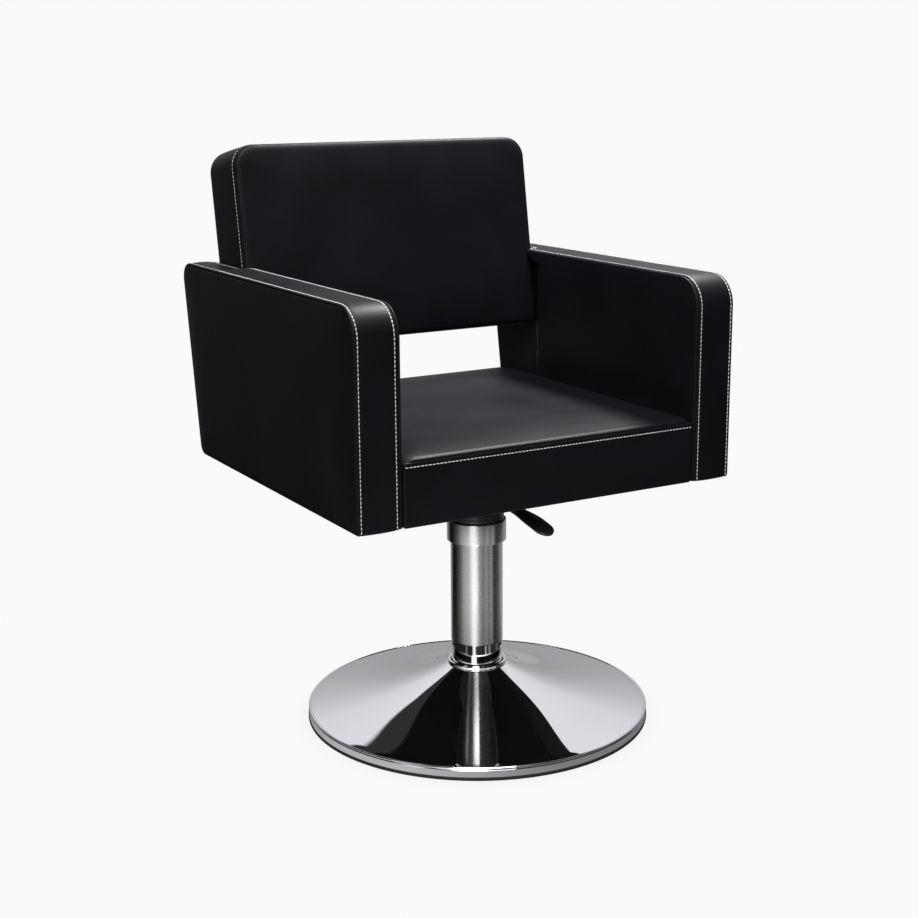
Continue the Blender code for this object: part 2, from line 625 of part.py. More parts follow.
def lever_bracket():
    """Inverted U of 3 mm strip under the mounting plate, with the pivot pin."""
    top = PLATE_Z0 - GAP
    under = top - (BRACKET_X - BRACKET_IN_X)
    outline = [(-BRACKET_X, BRACKET_Z0), (-BRACKET_IN_X, BRACKET_Z0), (-BRACKET_IN_X, under),
               (BRACKET_IN_X, under), (BRACKET_IN_X, BRACKET_Z0), (BRACKET_X, BRACKET_Z0),
               (BRACKET_X, top), (-BRACKET_X, top)]
    bracket_bm = prism(outline, "Y", PIVOT_Y - BRACKET_HALF_Y, PIVOT_Y + BRACKET_HALF_Y)
    bracket = place("lever_bracket", mesh_from(bracket_bm, "lever_bracket"), BLACK_STEEL, CHAIR)
    cut(bracket, "bracket_hole", lever_pivot_hole())
    pin = bolt_mesh("lever_pivot_pin", head_r=0.0048, head_h=0.0025, shank_r=PIVOT_PIN_R,
                    length=0.0300)
    place("lever_pivot_pin", pin, ZINC, CHAIR, (BRACKET_X + GAP, PIVOT_Y, PIVOT_Z),
          (0.0, math.pi / 2.0, 0.0), smooth=True)


def side_and_up(along):
    """The two directions across a path: level sideways, and upward."""
    side = along.cross(Vector((0.0, 0.0, 1.0))).normalized()
    return side, side.cross(along)


def swept_strip(path, half_width, half_thick):
    """Rectangular bar along a path of points."""
    sections = []
    for i, centre in enumerate(path):
        along = path[min(i + 1, len(path) - 1)] - path[max(i - 1, 0)]
        side, up = side_and_up(along.normalized())
        sections.append([centre + side * u + up * v for u, v in
                         rectangle(-half_width, half_width, -half_thick, half_thick)])
    return loft(sections)


def place_on_pivot(name, bm, mat, smooth=False):
    """Places a world-space shape with its origin at the lever's pivot."""
    bmesh.ops.translate(bm, vec=(0.0, -PIVOT_Y, -PIVOT_Z), verts=bm.verts)
    return place(name, mesh_from(bm, name), mat, LEVER, (0.0, PIVOT_Y, PIVOT_Z), smooth=smooth)


def lever_arm():
    boss_r, boss_half = 0.0062, 0.0046
    path = [Vector(spot) for spot in LEVER_PATH]
    arm = place_on_pivot("lever_arm", swept_strip(path, LEVER_W / 2.0, LEVER_T / 2.0),
                         BLACK_STEEL)
    cut(arm, "lever_boss",
        rod("X", (PIVOT_Y, PIVOT_Z), boss_r, -boss_half, boss_half, 16), operation="UNION")
    cut(arm, "lever_hole", lever_pivot_hole())


def lever_paddle():
    """A narrow round neck that opens to a flat blade with a round end."""
    blade_from = 0.6        # shares of the length: full width reached,
    end_from = 0.86         # round end begins,
    lip_to = 0.04           # slimmer first section ends
    root, tip = Vector(PADDLE_ROOT), Vector(PADDLE_TIP)
    side, up = side_and_up((tip - root).normalized())
    angles = [2 * math.pi * k / PADDLE_N for k in range(PADDLE_N)]
    sections = []
    for i in range(PADDLE_N + 1):
        t = i / PADDLE_N
        swell = 0.5 - 0.5 * math.cos(math.pi * min(t / blade_from, 1.0))
        width = (PADDLE_NECK_W + (PADDLE_W - PADDLE_NECK_W) * swell) / 2.0
        thick = PADDLE_T / 2.0
        if t > end_from:
            # the floor under the root keeps the last section open
            close = math.sqrt(max(1.0 - ((t - end_from) / (1.0 - end_from)) ** 2, 0.02))
            width *= close
            thick *= 0.45 + 0.55 * close
        if t < lip_to:
            width *= 0.85
            thick *= 0.85
        centre = root.lerp(tip, t) + up * (PADDLE_BOW * math.sin(math.pi * t))
        sections.append([centre + side * (width * math.cos(a)) + up * (thick * math.sin(a))
                         for a in angles])
    paddle = place_on_pivot("lever_paddle", loft(sections), PLASTIC, smooth=True)
    # socket for the flat end of the lever arm
    socket = [Vector(spot) for spot in LEVER_PATH[-3:]]
    socket[-1] = socket[-1] + (socket[-1] - socket[-2]).normalized() * SOCKET_FIT
    cut(paddle, "paddle_socket",
        swept_strip(socket, LEVER_W / 2.0 + SOCKET_FIT, LEVER_T / 2.0 + SOCKET_FIT))


def valve_pin():
    height = VALVE_Z1 - VALVE_Z0
    turned("valve_pin",
           [(0.0, 0.0), (VALVE_R, 0.0), (VALVE_R, height - 0.0010),
            (VALVE_R - 0.0008, height), (0.0, height)],
           PIN_N, ZINC, VALVE, closed=False, location=(0.0, 0.0, VALVE_Z0))


# ------------------------------------------------------------- wooden seat box
def mount_board():
    overshoot = 0.004
    top = RAIL_Z0 + BOARD_T
    board = wooden("mount_board", block(-BOX_HALF, BOX_HALF, RAIL_Y0 + BOARD_T + GAP,
                                        RAIL_Y1 - BOARD_T - GAP, RAIL_Z0, top))
    cut(board, "board_holes",
        *rods("Z", PLATE_SPOTS, WOOD_HOLE_R, RAIL_Z0 - overshoot, top + overshoot))


def cross_rails():
    for name, y0, y1 in (("front_rail", RAIL_Y0, RAIL_Y0 + BOARD_T),
                         ("rear_rail", RAIL_Y1 - BOARD_T, RAIL_Y1)):
        wooden(name, block(-BOX_HALF, BOX_HALF, y0, y1, RAIL_Z0, RAIL_Z1))


def seat_board():
    wooden("seat_board", block(-SEAT_HALF, SEAT_HALF, RAIL_Y0, RAIL_Y1,
                               SEAT_BOARD_Z0, SEAT_BOARD_Z1))


def dust_cover():
    """Lining under the box, open around the mounting plate."""
    lining_bm = block(-LINING_HALF, LINING_HALF, RAIL_Y0, RAIL_Y1, LINING_Z0, LINING_Z1)
    lining = place("dust_cover", mesh_from(lining_bm, "dust_cover"), LINING, CHAIR)
    half_x, half_y = PLATE_X + LINING_MARGIN, PLATE_Y + LINING_MARGIN
    cut(lining, "dust_opening", block(-half_x, half_x, -half_y, half_y, 0.4000, 0.4150))


# -------------------------------------------------------------------- seat pad
def seat_cushion():
    """Pad with a gently crowned top and lowered outer edges."""
    inset, spans = 0.96, 7      # inner grid from -inset to +inset
    stations = [-1.0, -inset]
    stations += [-inset + 2.0 * inset * i / spans for i in range(1, spans)]
    stations += [inset, 1.0]
    mid_y, half_y = (FRONT_Y + SEAT_REAR_Y) / 2.0, (SEAT_REAR_Y - FRONT_Y) / 2.0
    bm = bmesh.new()
    columns = []
    for u in stations:
        column = []
        for v in stations:
            z = SEAT_EDGE_Z + SEAT_CROWN * (1.0 - u ** 4) * (1.0 - v ** 4)
            if max(abs(u), abs(v)) > 0.99:
                z -= SEAT_EDGE_DROP
            column.append(bm.verts.new((SEAT_HALF * u, mid_y + half_y * v, z)))
        columns.append(column)
    for a, b in zip(columns, columns[1:]):
        for k in range(len(stations) - 1):
            bm.faces.new((a[k], b[k], b[k + 1], a[k + 1]))
    # sides drawn down from the rim, then the underside
    rim = [e for e in bm.edges if e.is_boundary]
    result = bmesh.ops.extrude_edge_only(bm, edges=rim)
    low = [g for g in result["geom"] if isinstance(g, bmesh.types.BMVert)]
    for vert in low:
        vert.co.z = CUSHION_Z0
    bottom = [g for g in result["geom"] if isinstance(g, bmesh.types.BMEdge)
              and g.verts[0] in low and g.verts[1] in low]
    bmesh.ops.contextual_create(bm, geom=bottom)
    place("seat_cushion", mesh_from(bm, "seat_cushion"), LEATHER, CHAIR, smooth=True)


def seat_bands():
    """Upholstery in front of and behind the seat box."""
    for name, y0, y1 in (("seat_front_band", FRONT_Y, FRONT_Y + BAND_T),
                         ("seat_rear_band", RAIL_Y1 + GAP, SEAT_REAR_Y)):
        band = block(-SEAT_HALF, SEAT_HALF, y0, y1, ARM_Z0 + GAP, CUSHION_Z0 - GAP)
        place(name, mesh_from(band, name), LEATHER, CHAIR)


# ------------------------------------------------------------------------ arms
# In this section sign is -1 for the left arm and +1 for the right.
def rear_y(z):
    """Rear edge of the arms, leaning with the backrest."""
    return ARM_REAR_Y0 + (z - ARM_Z0) * math.tan(RECLINE)


def back_front_y(z):
    return BACK_Y0 + (z - BACK_Z0) * math.tan(RECLINE)


def arm_outline(inset, z0, steps):
    z1 = ARM_Z1 - inset
    return rounded([(FRONT_Y + inset, z0, 0.0),
                    (rear_y(z0) - inset, z0, ARM_R_LOW_REAR - inset),
                    (rear_y(z1) - inset, z1, ARM_R_TOP_REAR - inset),
                    (FRONT_Y + inset, z1, ARM_R_TOP_FRONT - inset)], steps)


def back_bolt_spot(along):
    """World (y, z) of a bolt into the middle of the back board's thickness."""
    depth = BACK_BOARD_Y0 + BACK_BOARD_T / 2.0
    return (BACK_Y0 + depth * math.cos(RECLINE) + along * math.sin(RECLINE),
            BACK_Z0 - depth * math.sin(RECLINE) + along * math.cos(RECLINE))


BACK_BOLT_SPOTS = [back_bolt_spot(along) for along in BACK_BOLT_Z]
ARM_BOLT_SPOTS = [(y, ARM_BOLT_Z) for y in ARM_BOLT_Y]


def side_prism(sign, outline, x0, x1):
    return prism(outline, "X", sign * x0, sign * x1)


def side_block(sign, x0, x1, *y_z_limits):
    return block(*sorted((sign * x0, sign * x1)), *y_z_limits)


def side_rods(sign, spots, radius, x0, x1):
    return rods("X", spots, radius, sign * x0, sign * x1)


def arm_pad(side, sign):
    name = f"{side}_arm_pad"
    pad_bm = side_prism(sign, arm_outline(0.0, ARM_Z0, steps=4), ARM_IN_X, ARM_OUT_X)
    bevel(pad_bm, end_edges(pad_bm, 0), ARM_EDGE_R)
    pad = place(name, mesh_from(pad_bm, name), LEATHER, CHAIR, smooth=True)
    # recess on the inner rear that takes the end of the backrest
    lip_top = REBATE_LIP_Z + REBATE_LIP_H
    rebate = [(REBATE_Y, REBATE_Z), (REBATE_END_Y, REBATE_Z), (REBATE_END_Y, REBATE_END_Z),
              (back_front_y(REBATE_END_Z) - 0.0010, REBATE_END_Z),
              (back_front_y(lip_top) - 0.0010, lip_top), (REBATE_Y, REBATE_LIP_Z)]
    cut(pad, f"{side}_rebate", side_prism(sign, rebate, 0.2300, REBATE_X))
    # pocket for the plywood core, open at the bottom, and window for the batten
    pocket = arm_outline(CORE_INSET - GAP, ARM_Z0 - 0.0300, steps=3)
    cut(pad, f"{side}_pocket", side_prism(sign, pocket, CORE_X0 - GAP, CORE_X1 + GAP))
    cut(pad, f"{side}_window", side_block(sign, 0.2400, 0.2900, -BATTEN_Y - GAP, BATTEN_Y + GAP,
                                          ARM_Z0 - 0.0200, BATTEN_Z1 + GAP))
    # room for the bolt heads outside the core, and for the shanks inside it
    cut(pad, f"{side}_bolt_clearance",
        *side_rods(sign, BACK_BOLT_SPOTS, 0.0080, 0.2950, 0.3062),
        *side_rods(sign, BACK_BOLT_SPOTS, PAD_HOLE_R, 0.2700, 0.2900))


def arm_core(side, sign):
    core = wooden(f"{side}_arm_core", side_prism(
        sign, arm_outline(CORE_INSET, RAIL_Z0, steps=3), CORE_X0, CORE_X1))
    cut(core, f"{side}_core_holes",
        *side_rods(sign, BACK_BOLT_SPOTS, WOOD_HOLE_R, 0.2700, 0.3100),
        *side_rods(sign, ARM_BOLT_SPOTS, WOOD_HOLE_R, 0.2700, 0.2935))


def arm_batten(side, sign):
    """Filler between the side rail and the arm's core."""
    batten = wooden(f"{side}_arm_batten", side_block(sign, RAIL_X1 + GAP, CORE_X0 - GAP,
                                                     -BATTEN_Y, BATTEN_Y, RAIL_Z0, BATTEN_Z1))
    cut(batten, f"{side}_batten_holes",
        *side_rods(sign, ARM_BOLT_SPOTS, WOOD_HOLE_R, 0.2500, 0.2850))


def side_rail(side, sign):
    rail = wooden(f"{side}_rail", side_block(sign, RAIL_X0, RAIL_X1, RAIL_Y0, RAIL_Y1,
                                             RAIL_Z0, RAIL_Z1))
    cut(rail, f"{side}_rail_holes",
        *side_rods(sign, ARM_BOLT_SPOTS, WOOD_HOLE_R, 0.2300, 0.2600))


def arms():
    arm_bolt = bolt_mesh("arm_bolt", head_r=BOLT_HEAD_R, head_h=0.0050, shank_r=SHANK_R,
                         length=0.0550)
    back_bolt = bolt_mesh("back_bolt", head_r=0.0070, head_h=0.0050, shank_r=SHANK_R,
                          length=0.0800)
    for side, sign in (("left", -1.0), ("right", 1.0)):
        arm_pad(side, sign)
        arm_core(side, sign)
        arm_batten(side, sign)
        side_rail(side, sign)
        # arm bolts have their heads inside the seat box, back bolts in the arm
        place_bolts(f"{side}_arm_bolt", arm_bolt, CHAIR,
                    [(sign * (RAIL_X0 - GAP), y, z) for y, z in ARM_BOLT_SPOTS],
                    (0.0, -sign * math.pi / 2.0, 0.0))
        place_bolts(f"{side}_back_bolt", back_bolt, CHAIR,
                    [(sign * (CORE_X1 + GAP), y, z) for y, z in BACK_BOLT_SPOTS],
                    (0.0, sign * math.pi / 2.0, 0.0))


# -------------------------------------------------------------------- backrest
# Its pieces are drawn in its own frame: Z up the back, Y through it to the rear.
def place_back(name, bm, mat, smooth=False):
    return place(name, mesh_from(bm, name), mat, CHAIR, BACK_ORIGIN, BACK_TILT, smooth)


def back_to_world(bm):
    bmesh.ops.transform(bm, verts=bm.verts, matrix=Matrix.Translation(BACK_ORIGIN)
                        @ Matrix.Rotation(-RECLINE, 4, "X"))
    return bm


def back_side_rods(radius, x0, x1):
    return [tool for sign in (-1.0, 1.0)
            for tool in side_rods(sign, BACK_BOLT_SPOTS, radius, x0, x1)]


def recess_block(y0, y1):
    """Block that fills the rear recess with a gap all round."""
    return block(-RECESS_HALF + GAP, RECESS_HALF - GAP, y0, y1,
                 RECESS_Z0 + GAP, RECESS_Z1 - GAP)


def back_cushion():
    outline = rounded([(-BACK_HALF, 0.0, BACK_R_LOW), (BACK_HALF, 0.0, BACK_R_LOW),
                       (BACK_HALF, BACK_LEN, BACK_R_TOP), (-BACK_HALF, BACK_LEN, BACK_R_TOP)],
                      steps=5)
    bm = prism(outline, "Y", 0.0, BACK_T)
    bevel(bm, end_edges(bm, 1), BACK_EDGE_R)
    back = place_back("back_cushion", bm, LEATHER, smooth=True)
    cut(back, "back_recess",
        back_to_world(block(-RECESS_HALF, RECESS_HALF, BACK_FOAM, BACK_T + 0.0200,
                            RECESS_Z0, RECESS_Z1)))
    cut(back, "back_side_holes", *back_side_rods(PAD_HOLE_R, 0.2440, 0.2900))


def back_board():
    board = place_back("back_board",
                       recess_block(BACK_BOARD_Y0, BACK_BOARD_Y0 + BACK_BOARD_T), PLY)
    cut(board, "back_board_holes", *back_side_rods(WOOD_HOLE_R, 0.2190, 0.2600))


def back_rear_pad():
    bm = recess_block(BACK_BOARD_Y0 + BACK_BOARD_T + GAP, BACK_T)
    rear_edges = [e for e in bm.edges if min(v.co.y for v in e.verts) > BACK_T - 1e-5]
    bevel(bm, rear_edges, REAR_PAD_EDGE_R)
    place_back("back_rear_pad", bm, LEATHER, smooth=True)


# ----------------------------------------------------------------------- build
floor_pad()
edge_gasket()
ballast_plate()
base_cover()
neck_ring()

standpipe()
column_tube()
tube_spacer()
guide_bush()
thrust_washer("thrust_washer_lower", LOWER_WASHER_Z, BASE)
thrust_ball_cage()
thrust_washer("thrust_washer_upper", UPPER_WASHER_Z, SWIVEL)
piston_rod()
retaining_clip()

gas_cylinder()
column_sleeve()
column_collar()
hub_cover()
taper_hub()
mounting_plate()
lever_bracket()
lever_arm()
lever_paddle()
valve_pin()

mount_board()
cross_rails()
seat_board()
dust_cover()
seat_cushion()
seat_bands()
arms()
empty("back_frame", BACK_ORIGIN, CHAIR)
back_cushion()
back_board()
back_rear_pad()
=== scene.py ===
"""Looks of a square-armed styling chair on a round base, built round its CAD pieces.

The chair stands on z = 0 with its column on the Z axis and faces -Y; units are metres.
Left and right are as seen from the front, so the right arm is at +X. Skins, turned
parts and the lever grip take the place of the plain CAD pieces they are named after.
"""
import json
import math

import bpy
import bmesh
import numpy as np
from mathutils import Matrix, Vector


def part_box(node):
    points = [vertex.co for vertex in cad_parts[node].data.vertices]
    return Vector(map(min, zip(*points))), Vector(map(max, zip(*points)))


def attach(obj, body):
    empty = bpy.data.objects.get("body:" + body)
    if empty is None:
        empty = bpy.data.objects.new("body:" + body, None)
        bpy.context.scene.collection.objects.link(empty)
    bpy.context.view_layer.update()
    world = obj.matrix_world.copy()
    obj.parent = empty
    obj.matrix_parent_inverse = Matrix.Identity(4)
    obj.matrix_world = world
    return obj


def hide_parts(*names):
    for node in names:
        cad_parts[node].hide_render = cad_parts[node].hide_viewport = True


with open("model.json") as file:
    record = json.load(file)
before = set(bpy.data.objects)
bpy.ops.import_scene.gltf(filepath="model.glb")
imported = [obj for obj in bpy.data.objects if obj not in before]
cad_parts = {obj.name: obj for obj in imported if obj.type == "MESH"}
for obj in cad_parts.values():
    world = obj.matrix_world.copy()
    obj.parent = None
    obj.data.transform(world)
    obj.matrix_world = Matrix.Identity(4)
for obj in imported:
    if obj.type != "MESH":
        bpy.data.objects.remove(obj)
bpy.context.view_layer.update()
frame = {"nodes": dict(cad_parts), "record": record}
scene = bpy.context.scene

RECLINE = math.radians(9.24)    # lean of the backrest and of the arms' rear edges
MM = 0.001                      # ring tables are in millimetres
CLEARANCE = 0.0003              # gap left round a piece that sits inside another
UP = Vector((0.0, 0.0, 1.0))


# ------------------------------------------------------------ node helpers
class Net:
    """Short ways to build the node tree of a material or of the world."""

    def __init__(self, name, world=False):
        self.owner = (bpy.data.worlds if world else bpy.data.materials).new(name)
        self.owner.use_nodes = True
        self.tree = self.owner.node_tree
        self.tree.nodes.clear()
        self.out = self.add("ShaderNodeOutputWorld" if world else "ShaderNodeOutputMaterial")
        self.coord = self.add("ShaderNodeTexCoord").outputs["Generated" if world else "Object"]

    def add(self, kind, **props):
        node = self.tree.nodes.new(kind)
        for key, value in props.items():
            setattr(node, key, value)
        return node

    def link(self, source, target):
        self.tree.links.new(source, target)

    def feed(self, socket, value):
        """Links a socket, or sets a number or an RGB colour."""
        if isinstance(value, bpy.types.NodeSocket):
            self.link(value, socket)
        elif isinstance(value, tuple):
            socket.default_value = (*value, 1.0)
        else:
            socket.default_value = value

    def stretched(self, factors):
        node = self.add("ShaderNodeMapping")
        self.link(self.coord, node.inputs["Vector"])
        node.inputs["Scale"].default_value = factors
        return node.outputs["Vector"]

    def split(self):
        node = self.add("ShaderNodeSeparateXYZ")
        self.link(self.coord, node.inputs[0])
        return node.outputs

    def noise(self, scale, detail=3.0, rough=0.5, vector=None, distortion=0.0):
        node = self.add("ShaderNodeTexNoise")
        self.link(vector or self.coord, node.inputs["Vector"])
        node.inputs["Scale"].default_value = scale
        node.inputs["Detail"].default_value = detail
        node.inputs["Roughness"].default_value = rough
        node.inputs["Distortion"].default_value = distortion
        return node.outputs["Fac"]

    def voronoi(self, scale, feature="F1"):
        node = self.add("ShaderNodeTexVoronoi", feature=feature)
        self.link(self.coord, node.inputs["Vector"])
        node.inputs["Scale"].default_value = scale
        return node.outputs["Distance"]

    def remap(self, value, span, to=(0.0, 1.0)):
        """Maps the range span onto the range to, clamped at both ends."""
        node = self.add("ShaderNodeMapRange")
        self.link(value, node.inputs["Value"])
        for key, number in zip(("From Min", "From Max", "To Min", "To Max"), (*span, *to)):
            node.inputs[key].default_value = number
        return node.outputs["Result"]

    def calc(self, operation, first, second=0.0):
        node = self.add("ShaderNodeMath", operation=operation)
        for socket, value in zip(node.inputs, (first, second, 0.0)):
            self.feed(socket, value)
        return node.outputs[0]

    def plus(self, first, second):
        return self.calc("ADD", first, second)

    def times(self, first, second):
        return self.calc("MULTIPLY", first, second)

    def without(self, value, mask):
        """The value where the mask is 0, fading to nothing where it is 1."""
        return self.times(value, self.calc("SUBTRACT", 1.0, mask))

    def ramp(self, value, stops):
        """Level read off straight lines through (position, level) stops."""
        low, high = stops[0][0], stops[-1][0]
        peak = max(level for _, level in stops)
        node = self.add("ShaderNodeValToRGB")
        node.color_ramp.interpolation = "LINEAR"
        elements = node.color_ramp.elements
        while len(elements) < len(stops):
            elements.new(0.5)
        for element, (position, _) in zip(elements, stops):
            element.position = (position - low) / (high - low)
        for element, (_, level) in zip(elements, stops):
            element.color = (level / peak, level / peak, level / peak, 1.0)
        self.link(self.remap(value, span=(low, high)), node.inputs[0])
        return self.times(node.outputs[0], peak)

    def mix(self, factor, first, second):
        node = self.add("ShaderNodeMix", data_type="RGBA")
        self.feed(node.inputs[0], factor)
        self.feed(node.inputs[6], first)
        self.feed(node.inputs[7], second)
        return node.outputs[2]

    def bump(self, height, strength, distance, normal=None):
        node = self.add("ShaderNodeBump")
        node.inputs["Strength"].default_value = strength
        node.inputs["Distance"].default_value = distance
        self.link(height, node.inputs["Height"])
        if normal is not None:
            self.link(normal, node.inputs["Normal"])
        return node.outputs["Normal"]

    def surface(self, colour, rough, normal, **inputs):
        """Finishes a material; extra inputs are named with _ for a space."""
        node = self.add("ShaderNodeBsdfPrincipled")
        self.feed(node.inputs["Base Color"], colour)
        self.feed(node.inputs["Roughness"], rough)
        self.link(normal, node.inputs["Normal"])
        for key, value in inputs.items():
            self.feed(node.inputs[key.replace("_", " ")], value)
        self.link(node.outputs[0], self.out.inputs["Surface"])
        return self.owner


def shade(colour, *factors):
    """A colour times one factor, or times one factor for each channel."""
    if len(factors) == 1:
        factors = factors * 3
    return tuple(part * factor for part, factor in zip(colour, factors))


# --------------------------------------------------------------- materials
def leather(name, tint):
    """Pebbled hide with pores, fine creases and cloudy tone."""
    net = Net(name)
    warp = net.noise(scale=45.0, detail=2.0)
    cells = net.voronoi(scale=620.0, feature="DISTANCE_TO_EDGE")
    pores = net.voronoi(scale=1500.0)
    creases = net.noise(scale=160.0, detail=4.0, rough=0.6, distortion=0.6)
    cloudy = net.noise(scale=9.0)
    pebble = net.remap(cells, span=(0.0, 0.28))
    colour = net.mix(net.remap(cloudy, span=(0.3, 0.7)), shade(tint, 0.82), shade(tint, 1.25))
    # the hollows between the pebbles are painted darker, a painted shade
    colour = net.mix(net.remap(pebble, span=(0.0, 0.35), to=(0.35, 0.0)), colour,
                     shade(tint, 0.45))
    rough = net.plus(net.remap(cloudy, span=(0.3, 0.7), to=(0.40, 0.47)),
                     net.remap(pebble, span=(0.0, 0.4), to=(0.10, 0.0)))
    normal = net.bump(warp, strength=0.25, distance=0.0008)
    normal = net.bump(creases, strength=0.10, distance=0.0004, normal=normal)
    normal = net.bump(pebble, strength=0.30, distance=0.00018, normal=normal)
    normal = net.bump(pores, strength=0.105, distance=0.00008, normal=normal)
    return net.surface(colour, rough, normal, Specular_IOR_Level=0.50, IOR=1.22)


def thread(name, tint):
    net = Net(name)
    twist = net.add("ShaderNodeTexWave", wave_type="BANDS", bands_direction="DIAGONAL")
    net.link(net.coord, twist.inputs["Vector"])
    twist.inputs["Scale"].default_value = 420.0
    fuzz = net.noise(scale=2500.0, detail=2.0)
    # the grooves of the twist are painted darker, a painted shade
    colour = net.mix(twist.outputs["Fac"], shade(tint, 0.80), tint)
    normal = net.bump(twist.outputs["Fac"], strength=0.6, distance=0.0002)
    normal = net.bump(fuzz, strength=0.3, distance=0.0001, normal=normal)
    # a little glow is painted light: it keeps the stitches bright where the lamps leave them dark
    return net.surface(colour, 0.62, normal, Sheen_Weight=0.3, Emission_Color=tint,
                       Emission_Strength=0.16)


def mirror_chrome(name, tint):
    net = Net(name)
    smudge = net.noise(scale=7.0, detail=4.0, rough=0.55)
    haze = net.noise(scale=38.0)
    scratch = net.noise(scale=900.0, detail=2.0, vector=net.stretched((0.08, 1.0, 1.0)))
    rough = net.plus(net.remap(smudge, span=(0.42, 0.70), to=(0.014, 0.034)),
                     net.remap(haze, span=(0.55, 0.75), to=(0.0, 0.014)))
    normal = net.bump(scratch, strength=0.012, distance=0.0001)
    colour = net.mix(net.remap(smudge, span=(0.3, 0.7)), tint, shade(tint, 0.97))
    return net.surface(colour, rough, normal, Metallic=1.0)


def brushed_ring(name, tint, rough, radial=False):
    """Steel with fine lines that circle the Z axis, set apart by height or,
    on a flat face, by radius."""
    net = Net(name)
    x, y, z = net.split()
    if radial:
        along = net.calc("SQRT", net.plus(net.calc("POWER", x, 2.0), net.calc("POWER", y, 2.0)))
    else:
        along = z
    joined = net.add("ShaderNodeCombineXYZ")
    for socket, part, stretch in zip(joined.inputs, (x, y, along), (0.02, 0.02, 1.0)):
        net.link(net.times(part, stretch), socket)
    lines = net.noise(scale=5200.0, rough=0.6, vector=joined.outputs[0])
    broad = net.noise(scale=500.0, detail=2.0, vector=joined.outputs[0])
    tone = net.mix(net.remap(lines, span=(0.25, 0.75)), shade(tint, 0.95), tint)
    tone = net.mix(net.remap(broad, span=(0.3, 0.7), to=(0.0, 0.10)), tone, shade(tint, 0.88))
    tangent = net.add("ShaderNodeTangent", direction_type="RADIAL", axis="Z")
    return net.surface(tone, net.remap(lines, span=(0.2, 0.8), to=(rough - 0.02, rough + 0.03)),
                       net.bump(lines, strength=0.012, distance=0.00002),
                       Metallic=1.0, Anisotropic=0.88, Anisotropic_Rotation=0.25,
                       Tangent=tangent.outputs[0])


def moulded(name, tint, rough, depth=0.0002, scale=900.0):
    """Moulded rubber or plastic; depth and scale set its fine speckle."""
    net = Net(name)
    speckle = net.noise(scale=scale, rough=0.6)
    wear = net.noise(scale=25.0)
    colour = net.mix(net.remap(wear, span=(0.35, 0.7)), tint, shade(tint, 1.35))
    return net.surface(colour, net.remap(wear, span=(0.3, 0.7), to=(rough - 0.05, rough + 0.08)),
                       net.bump(speckle, strength=0.25, distance=depth))


def zinc_plate(name, tint):
    net = Net(name)
    fine = net.noise(scale=700.0, rough=0.6)
    tarnish = net.noise(scale=60.0, detail=4.0, rough=0.6)
    colour = net.mix(net.remap(tarnish, span=(0.35, 0.7)), tint, shade(tint, 0.82, 0.78, 0.70))
    return net.surface(colour, net.remap(tarnish, span=(0.3, 0.7), to=(0.30, 0.48)),
                       net.bump(fine, strength=0.15, distance=0.0001), Metallic=1.0)


def powder_coat(name, tint):
    net = Net(name)
    peel = net.noise(scale=520.0, detail=2.0)
    dust = net.noise(scale=14.0, detail=4.0, rough=0.6)
    colour = net.mix(net.remap(dust, span=(0.45, 0.75), to=(0.0, 0.5)), tint, shade(tint, 1.8))
    return net.surface(colour, net.remap(dust, span=(0.3, 0.7), to=(0.38, 0.52)),
                       net.bump(peel, strength=0.30, distance=0.0003))


def rough_iron(name, tint, rust_tint):
    net = Net(name)
    sand = net.noise(scale=380.0, detail=5.0, rough=0.7)
    rust = net.noise(scale=30.0, detail=4.0, rough=0.6)
    colour = net.mix(net.remap(rust, span=(0.5, 0.72), to=(0.0, 0.5)), tint, rust_tint)
    return net.surface(colour, 0.78, net.bump(sand, strength=0.6, distance=0.0008), Metallic=0.4)


def plywood(name, tint):
    net = Net(name)
    grain = net.stretched((1.0, 0.12, 1.0))
    rings = net.noise(scale=55.0, detail=5.0, rough=0.6, vector=grain, distortion=1.2)
    fibre = net.noise(scale=600.0, rough=0.6, vector=grain)
    colour = net.mix(net.remap(rings, span=(0.35, 0.65)), tint, shade(tint, 0.72, 0.64, 0.55))
    colour = net.mix(net.remap(fibre, span=(0.4, 0.7), to=(0.0, 0.35)), colour, shade(tint, 0.6))
    return net.surface(colour, 0.62, net.bump(fibre, strength=0.3, distance=0.0003))


def lining(name, tint):
    """Thin non-woven cloth stapled under the seat."""
    net = Net(name)
    fibres = net.noise(scale=900.0, detail=4.0, rough=0.7, distortion=2.0)
    checks = net.add("ShaderNodeTexChecker")
    net.link(net.coord, checks.inputs["Vector"])
    checks.inputs["Scale"].default_value = 500.0
    colour = net.mix(net.remap(fibres, span=(0.3, 0.7)), tint, shade(tint, 2.4))
    normal = net.bump(fibres, strength=0.5, distance=0.0003)
    normal = net.bump(checks.outputs["Fac"], strength=0.15, distance=0.0001, normal=normal)
    return net.surface(colour, 0.92, normal, Specular_IOR_Level=0.2, Sheen_Weight=0.03)


LEATHER = leather("leather_panel", tint=(0.0075, 0.0078, 0.0100))
STITCH = thread("stitch_thread", tint=(0.95, 0.94, 0.91))
CHROME = mirror_chrome("chrome_mirror", tint=(0.90, 0.905, 0.915))
BRUSHED = brushed_ring("steel_brushed", tint=(0.66, 0.645, 0.62), rough=0.27)
TURNED_FACE = brushed_ring("steel_turned_face", tint=(0.72, 0.71, 0.69), rough=0.20, radial=True)
RUBBER = moulded("rubber_black", tint=(0.012, 0.012, 0.012), rough=0.70, depth=0.0004,
                 scale=500.0)
PLASTIC = moulded("plastic_black", tint=(0.016, 0.016, 0.018), rough=0.36, depth=0.0001,
                  scale=1200.0)
ACETAL = moulded("acetal_white", tint=(0.72, 0.71, 0.66), rough=0.40)
ZINC = zinc_plate("steel_zinc", tint=(0.56, 0.56, 0.54))
COATED = powder_coat("steel_powder_coat", tint=(0.013, 0.013, 0.014))
